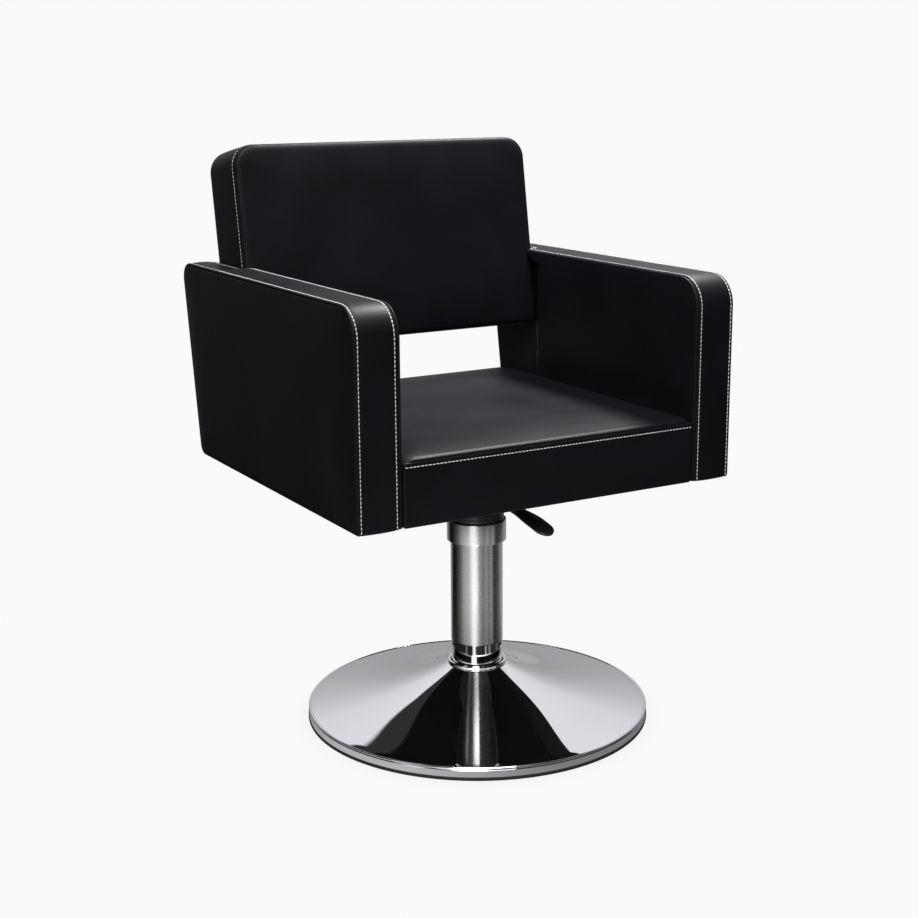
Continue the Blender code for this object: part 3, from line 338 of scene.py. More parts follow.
IRON = rough_iron("iron_cast", tint=(0.055, 0.055, 0.056), rust_tint=(0.11, 0.055, 0.03))
PLY = plywood("plywood_birch", tint=(0.50, 0.35, 0.20))
LINING = lining("lining_black", tint=(0.0045, 0.0045, 0.0048))

SLOTS = {
    "mirror_chrome": CHROME, "brushed_steel": BRUSHED, "zinc_steel": ZINC,
    "black_painted_steel": COATED, "ballast_iron": IRON, "black_rubber": RUBBER,
    "black_plastic": PLASTIC, "white_acetal": ACETAL, "birch_plywood": PLY,
    "black_lining": LINING, "black_leather": LEATHER,
}


def paint_cad_pieces():
    slot_of = {part["node"]: part["material_slot"] for part in frame["record"]["subparts"]}
    for name, piece in frame["nodes"].items():
        chosen = SLOTS[slot_of[name]]
        if not piece.material_slots:
            piece.data.materials.append(chosen)
        for entry in piece.material_slots:
            entry.material = chosen


paint_cad_pieces()


# ------------------------------------------------------------- mesh building
def new_object(name, verts, faces, mats, face_mat=None, sharp=None):
    """Smooth-shaded object; edges steeper than sharp degrees are marked sharp."""
    mesh = bpy.data.meshes.new(name)
    mesh.from_pydata([tuple(map(float, vert)) for vert in verts], [], faces)
    mesh.update()
    work = bmesh.new()
    work.from_mesh(mesh)
    bmesh.ops.recalc_face_normals(work, faces=work.faces)
    work.to_mesh(mesh)
    work.free()
    for mat in mats:
        mesh.materials.append(mat)
    if face_mat is not None:
        mesh.polygons.foreach_set("material_index", np.asarray(face_mat, dtype=np.int32))
    mesh.shade_smooth()
    if sharp is not None:
        mesh.set_sharp_from_angle(angle=math.radians(sharp))
    obj = bpy.data.objects.new(name, mesh)
    scene.collection.objects.link(obj)
    return obj


def install(obj, carrier, slot, *replaced):
    """Tells the frame what a piece moves with and what it replaces; slot is not used."""
    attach(obj, carrier)
    if replaced:
        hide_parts(*replaced)


def lathe(name, profile, mats, segments, bands=None):
    """Turns a closed (radius, height) profile; radius 0 closes on the axis.
    bands holds the material index of the strip that follows each point."""
    verts, faces, face_mat, rows = [], [], [], []
    for radius, z in profile:
        if radius < 1e-7:
            rows.append([len(verts)] * segments)
            verts.append((0.0, 0.0, z))
        else:
            rows.append(list(range(len(verts), len(verts) + segments)))
            for i in range(segments):
                angle = 2.0 * math.pi * i / segments
                verts.append((radius * math.cos(angle), radius * math.sin(angle), z))
    for k, row in enumerate(rows):
        after = rows[(k + 1) % len(rows)]
        if row[0] == row[1] and after[0] == after[1]:
            continue
        for i in range(segments):
            j = (i + 1) % segments
            # on the axis a quad closes to a triangle
            faces.append(list(dict.fromkeys((row[i], row[j], after[j], after[i]))))
            face_mat.append(bands[k] if bands else 0)
    return new_object(name, verts, faces, mats, face_mat, sharp=32.0)


def arc(centre_r, centre_z, radius, start, end, steps):
    """Profile points on an arc, angles in degrees."""
    angles = [math.radians(start + (end - start) * i / steps) for i in range(steps + 1)]
    return [(centre_r + radius * math.cos(angle), centre_z + radius * math.sin(angle))
            for angle in angles]


def round_top(edge, top, radius, steps):
    """Rounded outer top corner of a turned profile."""
    return arc(edge - radius, top - radius, radius, 0.0, 90.0, steps)


def round_bottom(edge, bottom, radius, start, steps):
    """Rounded outer bottom corner, from the start angle up to the side."""
    return arc(edge - radius, bottom + radius, radius, start, 0.0, steps)


def smoothstep(value, low, high):
    share = np.clip((np.asarray(value) - low) / (high - low), 0.0, 1.0)
    return share * share * (3.0 - 2.0 * share)


class Outline:
    """Convex four-sided outline with rounded corners, inset at a fixed number
    of points so that rings at different insets line up. corners holds
    (x, y, radius); a ring starts halfway round the first corner."""

    def __init__(self, corners, side_counts, corner_steps):
        self.corners = np.array([corner[:2] for corner in corners], dtype=float)
        self.radii = [corner[2] for corner in corners]
        self.sides = side_counts
        self.steps = corner_steps
        self.count = sum(side_counts) + 4 * corner_steps

    def inset_corners(self, inset):
        lines = []
        for i in range(4):
            start, end = self.corners[i], self.corners[(i + 1) % 4]
            along = (end - start) / np.linalg.norm(end - start)
            lines.append((start + np.array([-along[1], along[0]]) * inset, along))
        found = []
        for i in range(4):
            (start, along), (other, heading) = lines[i - 1], lines[i]
            reach = np.linalg.solve(np.array([along, -heading]).T, other - start)[0]
            found.append(start + along * reach)
        return found

    def ring(self, inset, radii=None):
        radii = radii if radii is not None else self.radii
        corners = self.inset_corners(inset)
        arcs = []
        for i in range(4):
            here = corners[i]
            radius = max(radii[i] - inset, 0.0005)
            before = corners[i - 1] - here
            after = corners[(i + 1) % 4] - here
            before /= np.linalg.norm(before)
            after /= np.linalg.norm(after)
            half = math.acos(np.clip(before @ after, -1.0, 1.0)) / 2.0
            middle = (before + after) / np.linalg.norm(before + after)
            centre = here + middle * (radius / math.sin(half))
            reach = radius / math.tan(half)
            first = here + before * reach - centre
            final = here + after * reach - centre
            begin = math.atan2(first[1], first[0])
            turn = math.atan2(first[0] * final[1] - first[1] * final[0], first @ final)
            arcs.append([centre + radius * np.array([math.cos(begin + turn * k / self.steps),
                                                     math.sin(begin + turn * k / self.steps)])
                         for k in range(self.steps + 1)])
        half_steps = self.steps // 2
        loop = list(arcs[0][half_steps:])
        for i in range(4):
            start, end = arcs[i][-1], arcs[(i + 1) % 4][0]
            for k in range(1, self.sides[i]):
                loop.append(start + (end - start) * k / self.sides[i])
            if i < 3:
                loop.extend(arcs[i + 1])
        loop.extend(arcs[0][:half_steps])
        return np.array(loop)

    def corner_marks(self):
        """Index of the middle of each corner along a ring."""
        marks, spot = [], 0
        for side in self.sides:
            marks.append(spot)
            spot += side + self.steps
        return marks


def coons(loop, marks):
    """Grid blended from the four sides of a loop, with the loop's own indices
    along its border and -1 inside."""
    corner0, corner1, corner2, corner3 = marks
    bottom = loop[corner0:corner1 + 1]
    right = loop[corner1:corner2 + 1]
    top = loop[corner2:corner3 + 1][::-1]
    left = np.concatenate([loop[corner3:], loop[:1]])[::-1]
    columns, rows = len(bottom) - 1, len(right) - 1
    across = np.linspace(0.0, 1.0, columns + 1)[:, None, None]
    upward = np.linspace(0.0, 1.0, rows + 1)[None, :, None]
    grid = ((1 - upward) * bottom[:, None, :] + upward * top[:, None, :]
            + (1 - across) * left[None, :, :] + across * right[None, :, :]
            - ((1 - across) * (1 - upward) * bottom[0] + across * (1 - upward) * bottom[-1]
               + (1 - across) * upward * top[0] + across * upward * top[-1]))
    ids = -np.ones((columns + 1, rows + 1), dtype=int)
    ids[:, 0] = np.arange(corner0, corner1 + 1)
    ids[columns, :] = np.arange(corner1, corner2 + 1)
    ids[:, rows] = np.arange(corner2, corner3 + 1)[::-1]
    ids[0, :] = (np.concatenate([np.arange(corner3, len(loop)), [0]]))[::-1]
    return grid, ids


class Pad:
    """Closed upholstered block: a panel, its rolled edge, the sewn side strip
    and the panel on the other face. rings holds (inset, depth) in millimetres
    from the first panel to the second; place(x, y, depth) gives world points
    from outline coordinates and depth."""

    def __init__(self, outline, rings, place, radii=None, shift=None):
        self.count = count = outline.count
        self.last = len(rings) - 1
        loops = []
        for k, (inset, depth) in enumerate(rings):
            loop = outline.ring(inset * MM, radii[k] if radii else None)
            loops.append(np.column_stack([loop, np.full(count, depth * MM)]))
        verts = list(np.concatenate(loops))
        self.faces = []
        for k in range(self.last):
            for i in range(count):
                j = (i + 1) % count
                self.faces.append((k * count + i, k * count + j,
                                   (k + 1) * count + j, (k + 1) * count + i))
        marks = outline.corner_marks()
        self.panels = []
        for k in (0, self.last):
            grid, ids = coons(loops[k][:, :2], marks)
            ids[ids >= 0] += k * count
            inner = []
            for i in range(1, grid.shape[0] - 1):
                for j in range(1, grid.shape[1] - 1):
                    ids[i, j] = len(verts)
                    inner.append(len(verts))
                    verts.append(np.array([*grid[i, j], rings[k][1] * MM]))
            for i in range(grid.shape[0] - 1):
                for j in range(grid.shape[1] - 1):
                    quad = (ids[i, j], ids[i + 1, j], ids[i + 1, j + 1], ids[i, j + 1])
                    self.faces.append(quad if k else quad[::-1])
            self.panels.append((inner, ids))
        self.local = np.array(verts)
        if shift is not None:
            self.local = shift(self.local)
        self.points = place(self.local[:, 0], self.local[:, 1], self.local[:, 2])

    def ring_ids(self, k):
        return np.arange(k * self.count, (k + 1) * self.count)

    def skin(self, name):
        return new_object(name, self.points, self.faces, [LEATHER])


def read_verts(mesh, key="co"):
    values = np.empty(len(mesh.vertices) * 3, dtype=np.float32)
    mesh.vertices.foreach_get(key, values)
    return values.reshape(-1, 3).astype(float)


def write_verts(mesh, points):
    mesh.vertices.foreach_set("co", np.asarray(points, dtype=np.float32).ravel())
    mesh.update()


FILL_FRAMES = 20
FILL_CLOTH = dict(quality=3, mass=0.25, tension_stiffness=12.0, compression_stiffness=12.0,
                  shear_stiffness=6.0, bending_stiffness=0.6, use_pressure=True,
                  uniform_pressure_force=4.0)


def inflate(obj, free, cap, weight):
    """Fills the skin with cloth pressure, the seams held; the swelling is
    eased off towards cap so that a firm pad keeps its shape."""
    rest = read_verts(obj.data)
    held = np.ones(len(rest), dtype=bool)
    held[free] = False
    pins = obj.vertex_groups.new(name="held")
    pins.add([int(i) for i in np.nonzero(held)[0]], 1.0, "REPLACE")
    mod = obj.modifiers.new("filling", "CLOTH")
    mod.settings.vertex_group_mass = "held"
    for key, value in FILL_CLOTH.items():
        setattr(mod.settings, key, value)
    mod.settings.effector_weights.gravity = 0.0
    mod.collision_settings.use_collision = False
    mod.point_cache.frame_start = 1
    mod.point_cache.frame_end = FILL_FRAMES
    for number in range(1, FILL_FRAMES + 1):
        scene.frame_set(number)
    depsgraph = bpy.context.evaluated_depsgraph_get()
    moved = read_verts(obj.evaluated_get(depsgraph).to_mesh())
    obj.evaluated_get(depsgraph).to_mesh_clear()
    obj.modifiers.remove(mod)
    obj.vertex_groups.remove(pins)
    scene.frame_set(1)
    step = moved - rest
    size = np.linalg.norm(step, axis=1)
    limit = cap * np.tanh(size / cap)
    step *= (limit / np.maximum(size, 1e-9))[:, None]
    if weight is not None:
        step *= weight[:, None]
    write_verts(obj.data, rest + step)


def fill(obj, pad, outward, loose, cap, weight=None):
    """Swells the panels that outward names (0 first, 1 last); the directions it
    holds are not used. The loose outermost rings beside each panel move with it."""
    free = []
    for side in outward:
        free.extend(pad.panels[side][0])
        for k in range(loose):
            free.extend(pad.ring_ids(pad.last - k if side else k))
    inflate(obj, free, cap, weight)


def cutter(boxes=(), solids=()):
    """(low, high) boxes and (points, faces) solids joined as one cutting tool."""
    work = bmesh.new()
    for low, high in boxes:
        made = bmesh.ops.create_cube(work, size=1.0)
        size = Vector(high) - Vector(low)
        middle = (Vector(high) + Vector(low)) / 2.0
        bmesh.ops.transform(work, verts=made["verts"],
                            matrix=Matrix.Translation(middle) @ Matrix.Diagonal((*size, 1.0)))
    for points, faces in solids:
        verts = [work.verts.new(Vector(point)) for point in points]
        for face in faces:
            work.faces.new([verts[i] for i in face])
    bmesh.ops.recalc_face_normals(work, faces=work.faces)
    mesh = bpy.data.meshes.new("tool")
    work.to_mesh(mesh)
    work.free()
    return mesh


def carve(obj, tool_mesh):
    """Cuts a tool out of a piece for good."""
    tool = bpy.data.objects.new("tool", tool_mesh)
    scene.collection.objects.link(tool)
    mod = obj.modifiers.new("cut", "BOOLEAN")
    mod.solver = "EXACT"
    mod.operation = "DIFFERENCE"
    mod.object = tool
    bpy.context.view_layer.update()
    depsgraph = bpy.context.evaluated_depsgraph_get()
    made = bpy.data.meshes.new_from_object(obj.evaluated_get(depsgraph))
    obj.modifiers.remove(mod)
    old = obj.data
    obj.data = made
    made.name = old.name
    bpy.data.meshes.remove(old)
    bpy.data.objects.remove(tool)
    bpy.data.meshes.remove(tool_mesh)


def prism_along_x(outline, start, end):
    """(points, faces) of a (y, z) outline drawn out between two x values."""
    count = len(outline)
    points = [(x, y, z) for x in (start, end) for y, z in outline]
    faces = [tuple(range(count)), tuple(range(count, 2 * count))[::-1]]
    faces += [(i, (i + 1) % count, count + (i + 1) % count, count + i) for i in range(count)]
    return points, faces


# -------------------------------------------------------------- stitching
STITCH_PITCH, STITCH_LENGTH, STITCH_RADIUS = 0.0062, 0.0059, 0.00086
STITCH_LEAN = 0.00035           # sideways slant of one stitch, end to end
STITCH_SIDES = STITCH_SPANS = 6


def stitches(name, path, normals, closed=False):
    """Row of separate sewn stitches along a path; each one is a bent capsule
    whose ends dive into the leather."""
    if closed:
        path = np.vstack([path, path[:1]])
        normals = np.vstack([normals, normals[:1]])
    gaps = np.linalg.norm(np.diff(path, axis=0), axis=1)
    run = np.concatenate([[0.0], np.cumsum(gaps)])
    total = run[-1]
    count = max(int(total / STITCH_PITCH), 1)
    pitch = total / count

    def path_at(distance):
        distance = min(max(distance, 0.0), total - 1e-9)
        k = int(np.searchsorted(run, distance, side="right") - 1)
        share = (distance - run[k]) / max(gaps[k], 1e-9)
        normal = normals[k] * (1 - share) + normals[k + 1] * share
        return path[k] * (1 - share) + path[k + 1] * share, normal / np.linalg.norm(normal)

    verts, faces = [], []
    for i in range(count):
        middle = (i + 0.5) * pitch
        first = len(verts)
        for j in range(STITCH_SPANS + 1):
            share = j / STITCH_SPANS
            distance = middle + (share - 0.5) * STITCH_LENGTH
            spot, normal = path_at(distance)
            tangent = path_at(distance + 0.0004)[0] - path_at(distance - 0.0004)[0]
            tangent /= max(np.linalg.norm(tangent), 1e-9)
            # each stitch leans a little, as a lockstitch does
            side = np.cross(tangent, normal)
            side /= max(np.linalg.norm(side), 1e-9)
            bow = math.sin(math.pi * share)
            spot = (spot + normal * (STITCH_RADIUS * (1.05 * bow ** 0.5 - 0.75))
                    + side * (share - 0.5) * STITCH_LEAN)
            fat = STITCH_RADIUS * (0.45 + 0.55 * bow ** 0.5)
            for k in range(STITCH_SIDES):
                angle = 2.0 * math.pi * k / STITCH_SIDES
                verts.append(spot + normal * math.sin(angle) * fat * 0.8
                             + side * math.cos(angle) * fat)
        for j in range(STITCH_SPANS):
            near, far = first + j * STITCH_SIDES, first + (j + 1) * STITCH_SIDES
            for k in range(STITCH_SIDES):
                after = (k + 1) % STITCH_SIDES
                faces.append((near + k, near + after, far + after, far + k))
        faces.append(tuple(first + k for k in range(STITCH_SIDES))[::-1])
        faces.append(tuple(first + STITCH_SPANS * STITCH_SIDES + k for k in range(STITCH_SIDES)))
    return new_object(name, verts, faces, [STITCH])


def seam(obj, pad, ring, part=slice(None)):
    """Points and normals along a ring of a skin, or along part of it."""
    ids = pad.ring_ids(ring)[part]
    return read_verts(obj.data)[ids], read_verts(obj.data, "normal")[ids]


# ---------------------------------------------------------------------- arms
arm_low, arm_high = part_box("right_arm_pad")
ARM_OUT, ARM_FRONT = arm_high.x, arm_low.y
ARM_Z0, ARM_Z1 = arm_low.z, arm_high.z
ARM_REAR_Y0 = 0.3640            # rear edge at the bottom of the arm
REBATE_DEPTH = 0.0206           # step back of the inner face beside the backrest
# (inset, depth from the outer face) in mm
OUTER_EDGE = [
    (16.0, 0.0), (12.0, 0.03), (9.2, 0.18), (7.2, 0.50), (5.7, 0.98), (4.8, 1.6), (4.4, 2.3),
    (4.5, 3.5), (3.4, 3.2), (2.9, 2.0), (2.5, 1.25), (1.9, 0.95), (1.2, 1.15), (0.6, 1.9),
    (0.15, 3.1), (0.0, 4.5), (0.22, 5.4), (0.60, 6.0), (0.22, 6.6), (-0.05, 7.6)]
ARM_STRIP = [(-0.25, 12.0), (-0.65, 22.0), (-0.85, 36.0), (-0.65, 50.0), (-0.25, 58.0)]
INNER_EDGE = [
    (-0.05, 60.9), (0.22, 61.9), (0.60, 62.5), (0.22, 63.1), (0.0, 64.0), (0.10, 65.0),
    (0.5, 65.8), (1.6, 66.4), (3.4, 67.0), (1.8, 67.6), (0.8, 68.2), (0.6, 69.3), (0.9, 70.4),
    (1.7, 71.3), (3.2, 71.85), (5.6, 72.0), (10.0, 72.0), (16.0, 72.0)]
# rings at the bottom of the two stitched grooves
OUTER_STITCH = 17
INNER_STITCH = len(OUTER_EDGE) + len(ARM_STRIP) + 2


def arm_rear(z):
    return ARM_REAR_Y0 + (z - ARM_Z0) * math.tan(RECLINE)


def recess(y, z):
    """1 where the arm's inner face steps back to take the backrest."""
    start = 0.2170 + 0.0395 * smoothstep(z, 0.698, 0.716)
    return smoothstep(y - start, 0.0, 0.0095) * smoothstep(z, 0.4840, 0.4930)


def arm_shift(local):
    """Steps the inner side back, more the deeper it lies below the outer face."""
    out = local.copy()
    share = np.clip((local[:, 2] / MM - 9.0) / (62.0 - 9.0), 0.0, 1.0)
    out[:, 2] = local[:, 2] - recess(local[:, 0], local[:, 1]) * REBATE_DEPTH * share
    return out


def left_arm_place(y, z, depth):
    return np.column_stack([-(ARM_OUT - depth), y, z])


ARM_OUTLINE = Outline([(ARM_FRONT, ARM_Z0, 0.0050), (arm_rear(ARM_Z0), ARM_Z0, 0.0190),
                       (arm_rear(ARM_Z1), ARM_Z1, 0.0270), (ARM_FRONT, ARM_Z1, 0.0470)],
                      (104, 50, 104, 50), 12)
core_low, core_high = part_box("right_arm_core")
batten_low, batten_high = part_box("right_arm_batten")
CORE_INSET = 0.0117
CORE_BOTTOM = ARM_Z0 + 0.0027
CORE_TOP = ARM_Z1 - CORE_INSET
CORE_OUTLINE = Outline([(ARM_FRONT + CORE_INSET, CORE_BOTTOM, 0.004),
                        (arm_rear(ARM_Z0) - CORE_INSET, CORE_BOTTOM, 0.004),
                        (arm_rear(ARM_Z1) - 0.0140, CORE_TOP, 0.0150),
                        (ARM_FRONT + CORE_INSET, CORE_TOP, 0.0353)], (4, 4, 4, 4), 4)
WINDOW_X = 0.2400               # inner end of the cut for the batten


def build_left_arm():
    """The left skin and the paths of its outer and inner seams."""
    pad = Pad(ARM_OUTLINE, OUTER_EDGE + ARM_STRIP + INNER_EDGE, left_arm_place, shift=arm_shift)
    obj = pad.skin("left_arm_leather")
    # the inner face stays flat in the recess and low down beside the seat
    weight = np.ones(len(pad.points))
    inner_face = pad.local[:, 2] > 0.040
    y, z = pad.points[:, 1], pad.points[:, 2]
    swell = (1.0 - recess(y + 0.004, z)) * smoothstep(z, 0.512, 0.560)
    weight[inner_face] = swell[inner_face]
    fill(obj, pad, outward={0: (-1.0, 0.0, 0.0), 1: (1.0, 0.0, 0.0)}, loose=3, cap=0.0030,
         weight=weight)
    # sewn round the rear, top and front; the underside is stapled
    sewn = slice(ARM_OUTLINE.corner_marks()[1] + 2, None)
    return obj, [seam(obj, pad, ring, sewn) for ring in (OUTER_STITCH, INNER_STITCH)]


def mirrored(obj, name):
    points = read_verts(obj.data)
    points[:, 0] *= -1.0
    faces = [tuple(face.vertices)[::-1] for face in obj.data.polygons]
    return new_object(name, points, faces, [LEATHER])


def hollow_arm(obj, sign):
    """Cuts the pocket for the core and the opening for the batten."""
    pocket_x = sorted((sign * (core_low.x - CLEARANCE), sign * (core_high.x + CLEARANCE)))
    carve(obj, cutter(solids=[prism_along_x(CORE_OUTLINE.ring(0.0), *pocket_x)]))
    window_x = sorted((sign * WINDOW_X, sign * (core_low.x + 0.004)))
    window = ((window_x[0], batten_low.y - CLEARANCE, ARM_Z0 + 0.0028),
              (window_x[1], batten_high.y + CLEARANCE, batten_high.z + CLEARANCE))
    carve(obj, cutter(boxes=[window]))


def build_arms():
    left, seams = build_left_arm()
    right = mirrored(left, "right_arm_leather")
    for side, flip in (("left", (1.0, 1.0, 1.0)), ("right", (-1.0, 1.0, 1.0))):
        for where, (path, normals) in zip(("outer", "inner"), seams):
            row = stitches(f"{side}_arm_{where}_stitching", path * flip, normals * flip)
            install(row, "seat", "black_leather")
    for obj, sign, replaced in ((left, -1.0, "left_arm_pad"), (right, 1.0, "right_arm_pad")):
        hollow_arm(obj, sign)
        install(obj, "seat", "black_leather", replaced)


build_arms()

# ---------------------------------------------------------------------- seat
seat_low, seat_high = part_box("seat_cushion")
band_low, band_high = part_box("seat_front_band")
rear_band_low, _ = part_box("seat_rear_band")
_, board_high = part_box("seat_board")
SEAT_TOP = 0.5085
SEAT_DEPTH = SEAT_TOP - band_low.z
# (inset, depth below the seat top) in mm
SEAT_RINGS = [
    (24.0, -0.9), (18.0, -0.6), (13.0, -0.1), (9.4, 0.55), (6.6, 1.5), (4.4, 2.6), (2.7, 3.8),
    (1.7, 4.8), (1.5, 5.4), (2.9, 6.3), (1.6, 7.1), (0.7, 7.7), (0.15, 8.9), (0.0, 10.8),
    (0.05, 12.4), (0.25, 13.2), (0.62, 13.9), (0.25, 14.6), (0.0, 15.6), (-0.20, 22.0),
    (-0.45, 40.0), (-0.45, 62.0), (-0.20, 84.0), (0.0, 95.0), (0.35, 99.0), (1.2, 101.4),
    (3.4, SEAT_DEPTH / MM), (10.0, SEAT_DEPTH / MM)]
SEAT_STITCH = 16                # ring at the bottom of the stitched groove


def seat_corner_radii(inset, depth):
    """The top panel has rounder corners than the side strip."""
    panel = 1.0 - float(smoothstep(depth, 4.5, 8.5))
    return [0.0035 + 0.0150 * panel + max(inset, 0.0) * MM * 0.6 * panel] * 4


def seat_place(x, y, depth):
    return np.column_stack([x, y, SEAT_TOP - depth])


def build_seat():
    half, front, rear = seat_high.x, seat_low.y, seat_high.y
    outline = Outline([(-half, front, 0.004), (half, front, 0.004),
                       (half, rear, 0.004), (-half, rear, 0.004)], (84, 90, 84, 90), 12)
    pad = Pad(outline, SEAT_RINGS, seat_place,
              radii=[seat_corner_radii(*entry) for entry in SEAT_RINGS])
    obj = pad.skin("seat_leather")
    fill(obj, pad, outward={0: (0.0, 0.0, 1.0)}, loose=4, cap=0.0055)
    marks = outline.corner_marks()
    front_side = slice(marks[0] + 3, marks[1] - 2)
    row = stitches("seat_front_stitching", *seam(obj, pad, SEAT_STITCH, front_side))
    install(row, "seat", "black_leather")
    # room underneath for the board, between the front and rear bands
    carve(obj, cutter(boxes=[((-0.30, band_high.y + CLEARANCE, band_low.z - 0.02),
                              (0.30, rear_band_low.y - CLEARANCE, board_high.z + CLEARANCE))]))
    install(obj, "seat", "black_leather", "seat_cushion", "seat_front_band", "seat_rear_band")


build_seat()

# ------------------------------------------------------------------ backrest
_, back_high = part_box("back_cushion")
BACK_HALF = back_high.x + 0.0022
BACK_LENGTH = 0.3300
BACK_Y0, BACK_Z0 = 0.2424, 0.5964       # bottom edge of the front face
COS_LEAN, SIN_LEAN = math.cos(RECLINE), math.sin(RECLINE)
# (inset, depth from the front face) in mm
BACK_RINGS = [
    (34.0, -1.4), (27.0, -1.25), (20.0, -0.95), (14.5, -0.45), (10.5, 0.2), (7.4, 1.0),
    (4.9, 2.0), (3.1, 3.1), (1.9, 4.3), (1.5, 5.3), (1.9, 6.1), (3.6, 7.2), (2.1, 8.2),
    (1.0, 8.9), (0.4, 10.2), (0.1, 12.0), (0.0, 13.4), (0.25, 14.3), (0.65, 15.0),
    (0.25, 15.7), (0.0, 16.8), (-0.1, 24.0), (-0.3, 42.0), (-0.35, 60.0), (-0.3, 80.0),
    (-0.1, 98.0), (0.0, 107.0), (0.2, 111.0), (0.9, 114.2), (2.2, 116.3), (4.4, 117.5),
    (7.5, 117.9), (12.0, 118.0), (19.0, 118.0)]
BACK_STITCH = 18                # ring at the bottom of the stitched groove
# opening in the rear face that takes a board and the rear panel
RECESS_HALF = 0.2503
RECESS_BOTTOM, RECESS_TOP = 0.0200, BACK_LENGTH - 0.0200
RECESS_FLOOR = 0.0700
BOARD_THICK = 0.0180
REAR_FIT = 0.0004               # gap round the rear panel
REAR_FACE = (RECESS_FLOOR + CLEARANCE + BOARD_THICK + CLEARANCE) / MM
REAR_RINGS = [
    (14.0, REAR_FACE), (2.0, REAR_FACE), (0.4, REAR_FACE + 1.0), (0.0, REAR_FACE + 4.0),
    (0.0, 104.0), (0.0, 111.0), (0.35, 113.4), (1.3, 115.3), (2.9, 116.8), (5.4, 117.8),
    (8.8, 118.4), (13.0, 118.7), (18.0, 118.9), (24.0, 119.0)]


def back_place(across, upward, depth):
    """Across the back, up its slope and through it from the front face."""
    return np.column_stack([across, BACK_Y0 + depth * COS_LEAN + upward * SIN_LEAN,
                            BACK_Z0 - depth * SIN_LEAN + upward * COS_LEAN])


def rear_opening():
    """(points, faces) of the leaning box cut out of the rear face."""
    lean = Matrix.Translation((0.0, BACK_Y0, BACK_Z0)) @ Matrix.Rotation(-RECLINE, 4, "X")
    points = [lean @ Vector((x, depth, upward)) for x in (-RECESS_HALF, RECESS_HALF)
              for depth in (RECESS_FLOOR, 0.1400) for upward in (RECESS_BOTTOM, RECESS_TOP)]
    return points, [(0, 1, 3, 2), (4, 6, 7, 5), (0, 4, 5, 1), (2, 3, 7, 6), (0, 2, 6, 4),
                    (1, 5, 7, 3)]


def build_back():
    outline = Outline([(-BACK_HALF, 0.0, 0.0120), (BACK_HALF, 0.0, 0.0120),
                       (BACK_HALF, BACK_LENGTH, 0.0360), (-BACK_HALF, BACK_LENGTH, 0.0360)],
                      (84, 48, 84, 48), 12)
    pad = Pad(outline, BACK_RINGS, back_place)
    obj = pad.skin("back_leather")
    fill(obj, pad, outward={0: (0.0, -COS_LEAN, SIN_LEAN)}, loose=4, cap=0.0060)
    row = stitches("back_front_stitching", *seam(obj, pad, BACK_STITCH), closed=True)
    install(row, "seat", "black_leather")
    carve(obj, cutter(solids=[rear_opening()]))
    install(obj, "seat", "black_leather", "back_cushion")


def build_rear_panel():
    """Separate upholstered board let into the back of the cushion."""
    half = RECESS_HALF - REAR_FIT
    bottom, top = RECESS_BOTTOM + REAR_FIT, RECESS_TOP - REAR_FIT
    outline = Outline([(-half, bottom, 0.0030), (half, bottom, 0.0030),
                       (half, top, 0.0030), (-half, top, 0.0030)], (76, 44, 76, 44), 8)
    pad = Pad(outline, REAR_RINGS, back_place)
    obj = pad.skin("back_rear_leather")
    fill(obj, pad, outward={1: (0.0, COS_LEAN, -SIN_LEAN)}, loose=4, cap=0.0035)
    install(obj, "seat", "black_leather", "back_rear_pad")


build_back()
build_rear_panel()

# ---------------------------------------------------------------------- base
cover_low, cover_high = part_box("base_cover")
ring_low, ring_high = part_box("neck_ring")
_, pad_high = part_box("floor_pad")
_, gasket_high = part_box("edge_gasket")
tube_low, tube_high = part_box("column_tube")
COVER_RADIUS, COVER_TOP = cover_high.x, cover_high.z
NECK_RADIUS = ring_high.x
EDGE_RADIUS, EDGE_Z = COVER_RADIUS - 0.0042, 0.0201     # foot of the flared surface
COVER_HOLE = 0.0434
COVER_WALL = 0.0016
COVER_SLOPE = math.tan(math.radians(9.5))
FLARE_POWER = 3.2               # how late the cover turns up towards the neck
FLARE_STEPS = 56


def cover_height(radius):
    run = EDGE_RADIUS - radius
    span = EDGE_RADIUS - NECK_RADIUS
    rise = COVER_TOP - EDGE_Z - COVER_SLOPE * span
    return EDGE_Z + COVER_SLOPE * run + rise * max(run / span, 0.0) ** FLARE_POWER


def cover_underside(radius):
    """Point one wall thickness below the surface, square to it."""
    outer = min(radius + 0.0005, EDGE_RADIUS)
    slope = (cover_height(radius - 0.0005) - cover_height(outer)) / 0.001
    length = math.hypot(1.0, slope)
    return (min(radius - COVER_WALL * slope / length, COVER_RADIUS - COVER_WALL - 0.0004),
            cover_height(radius) - COVER_WALL / length)


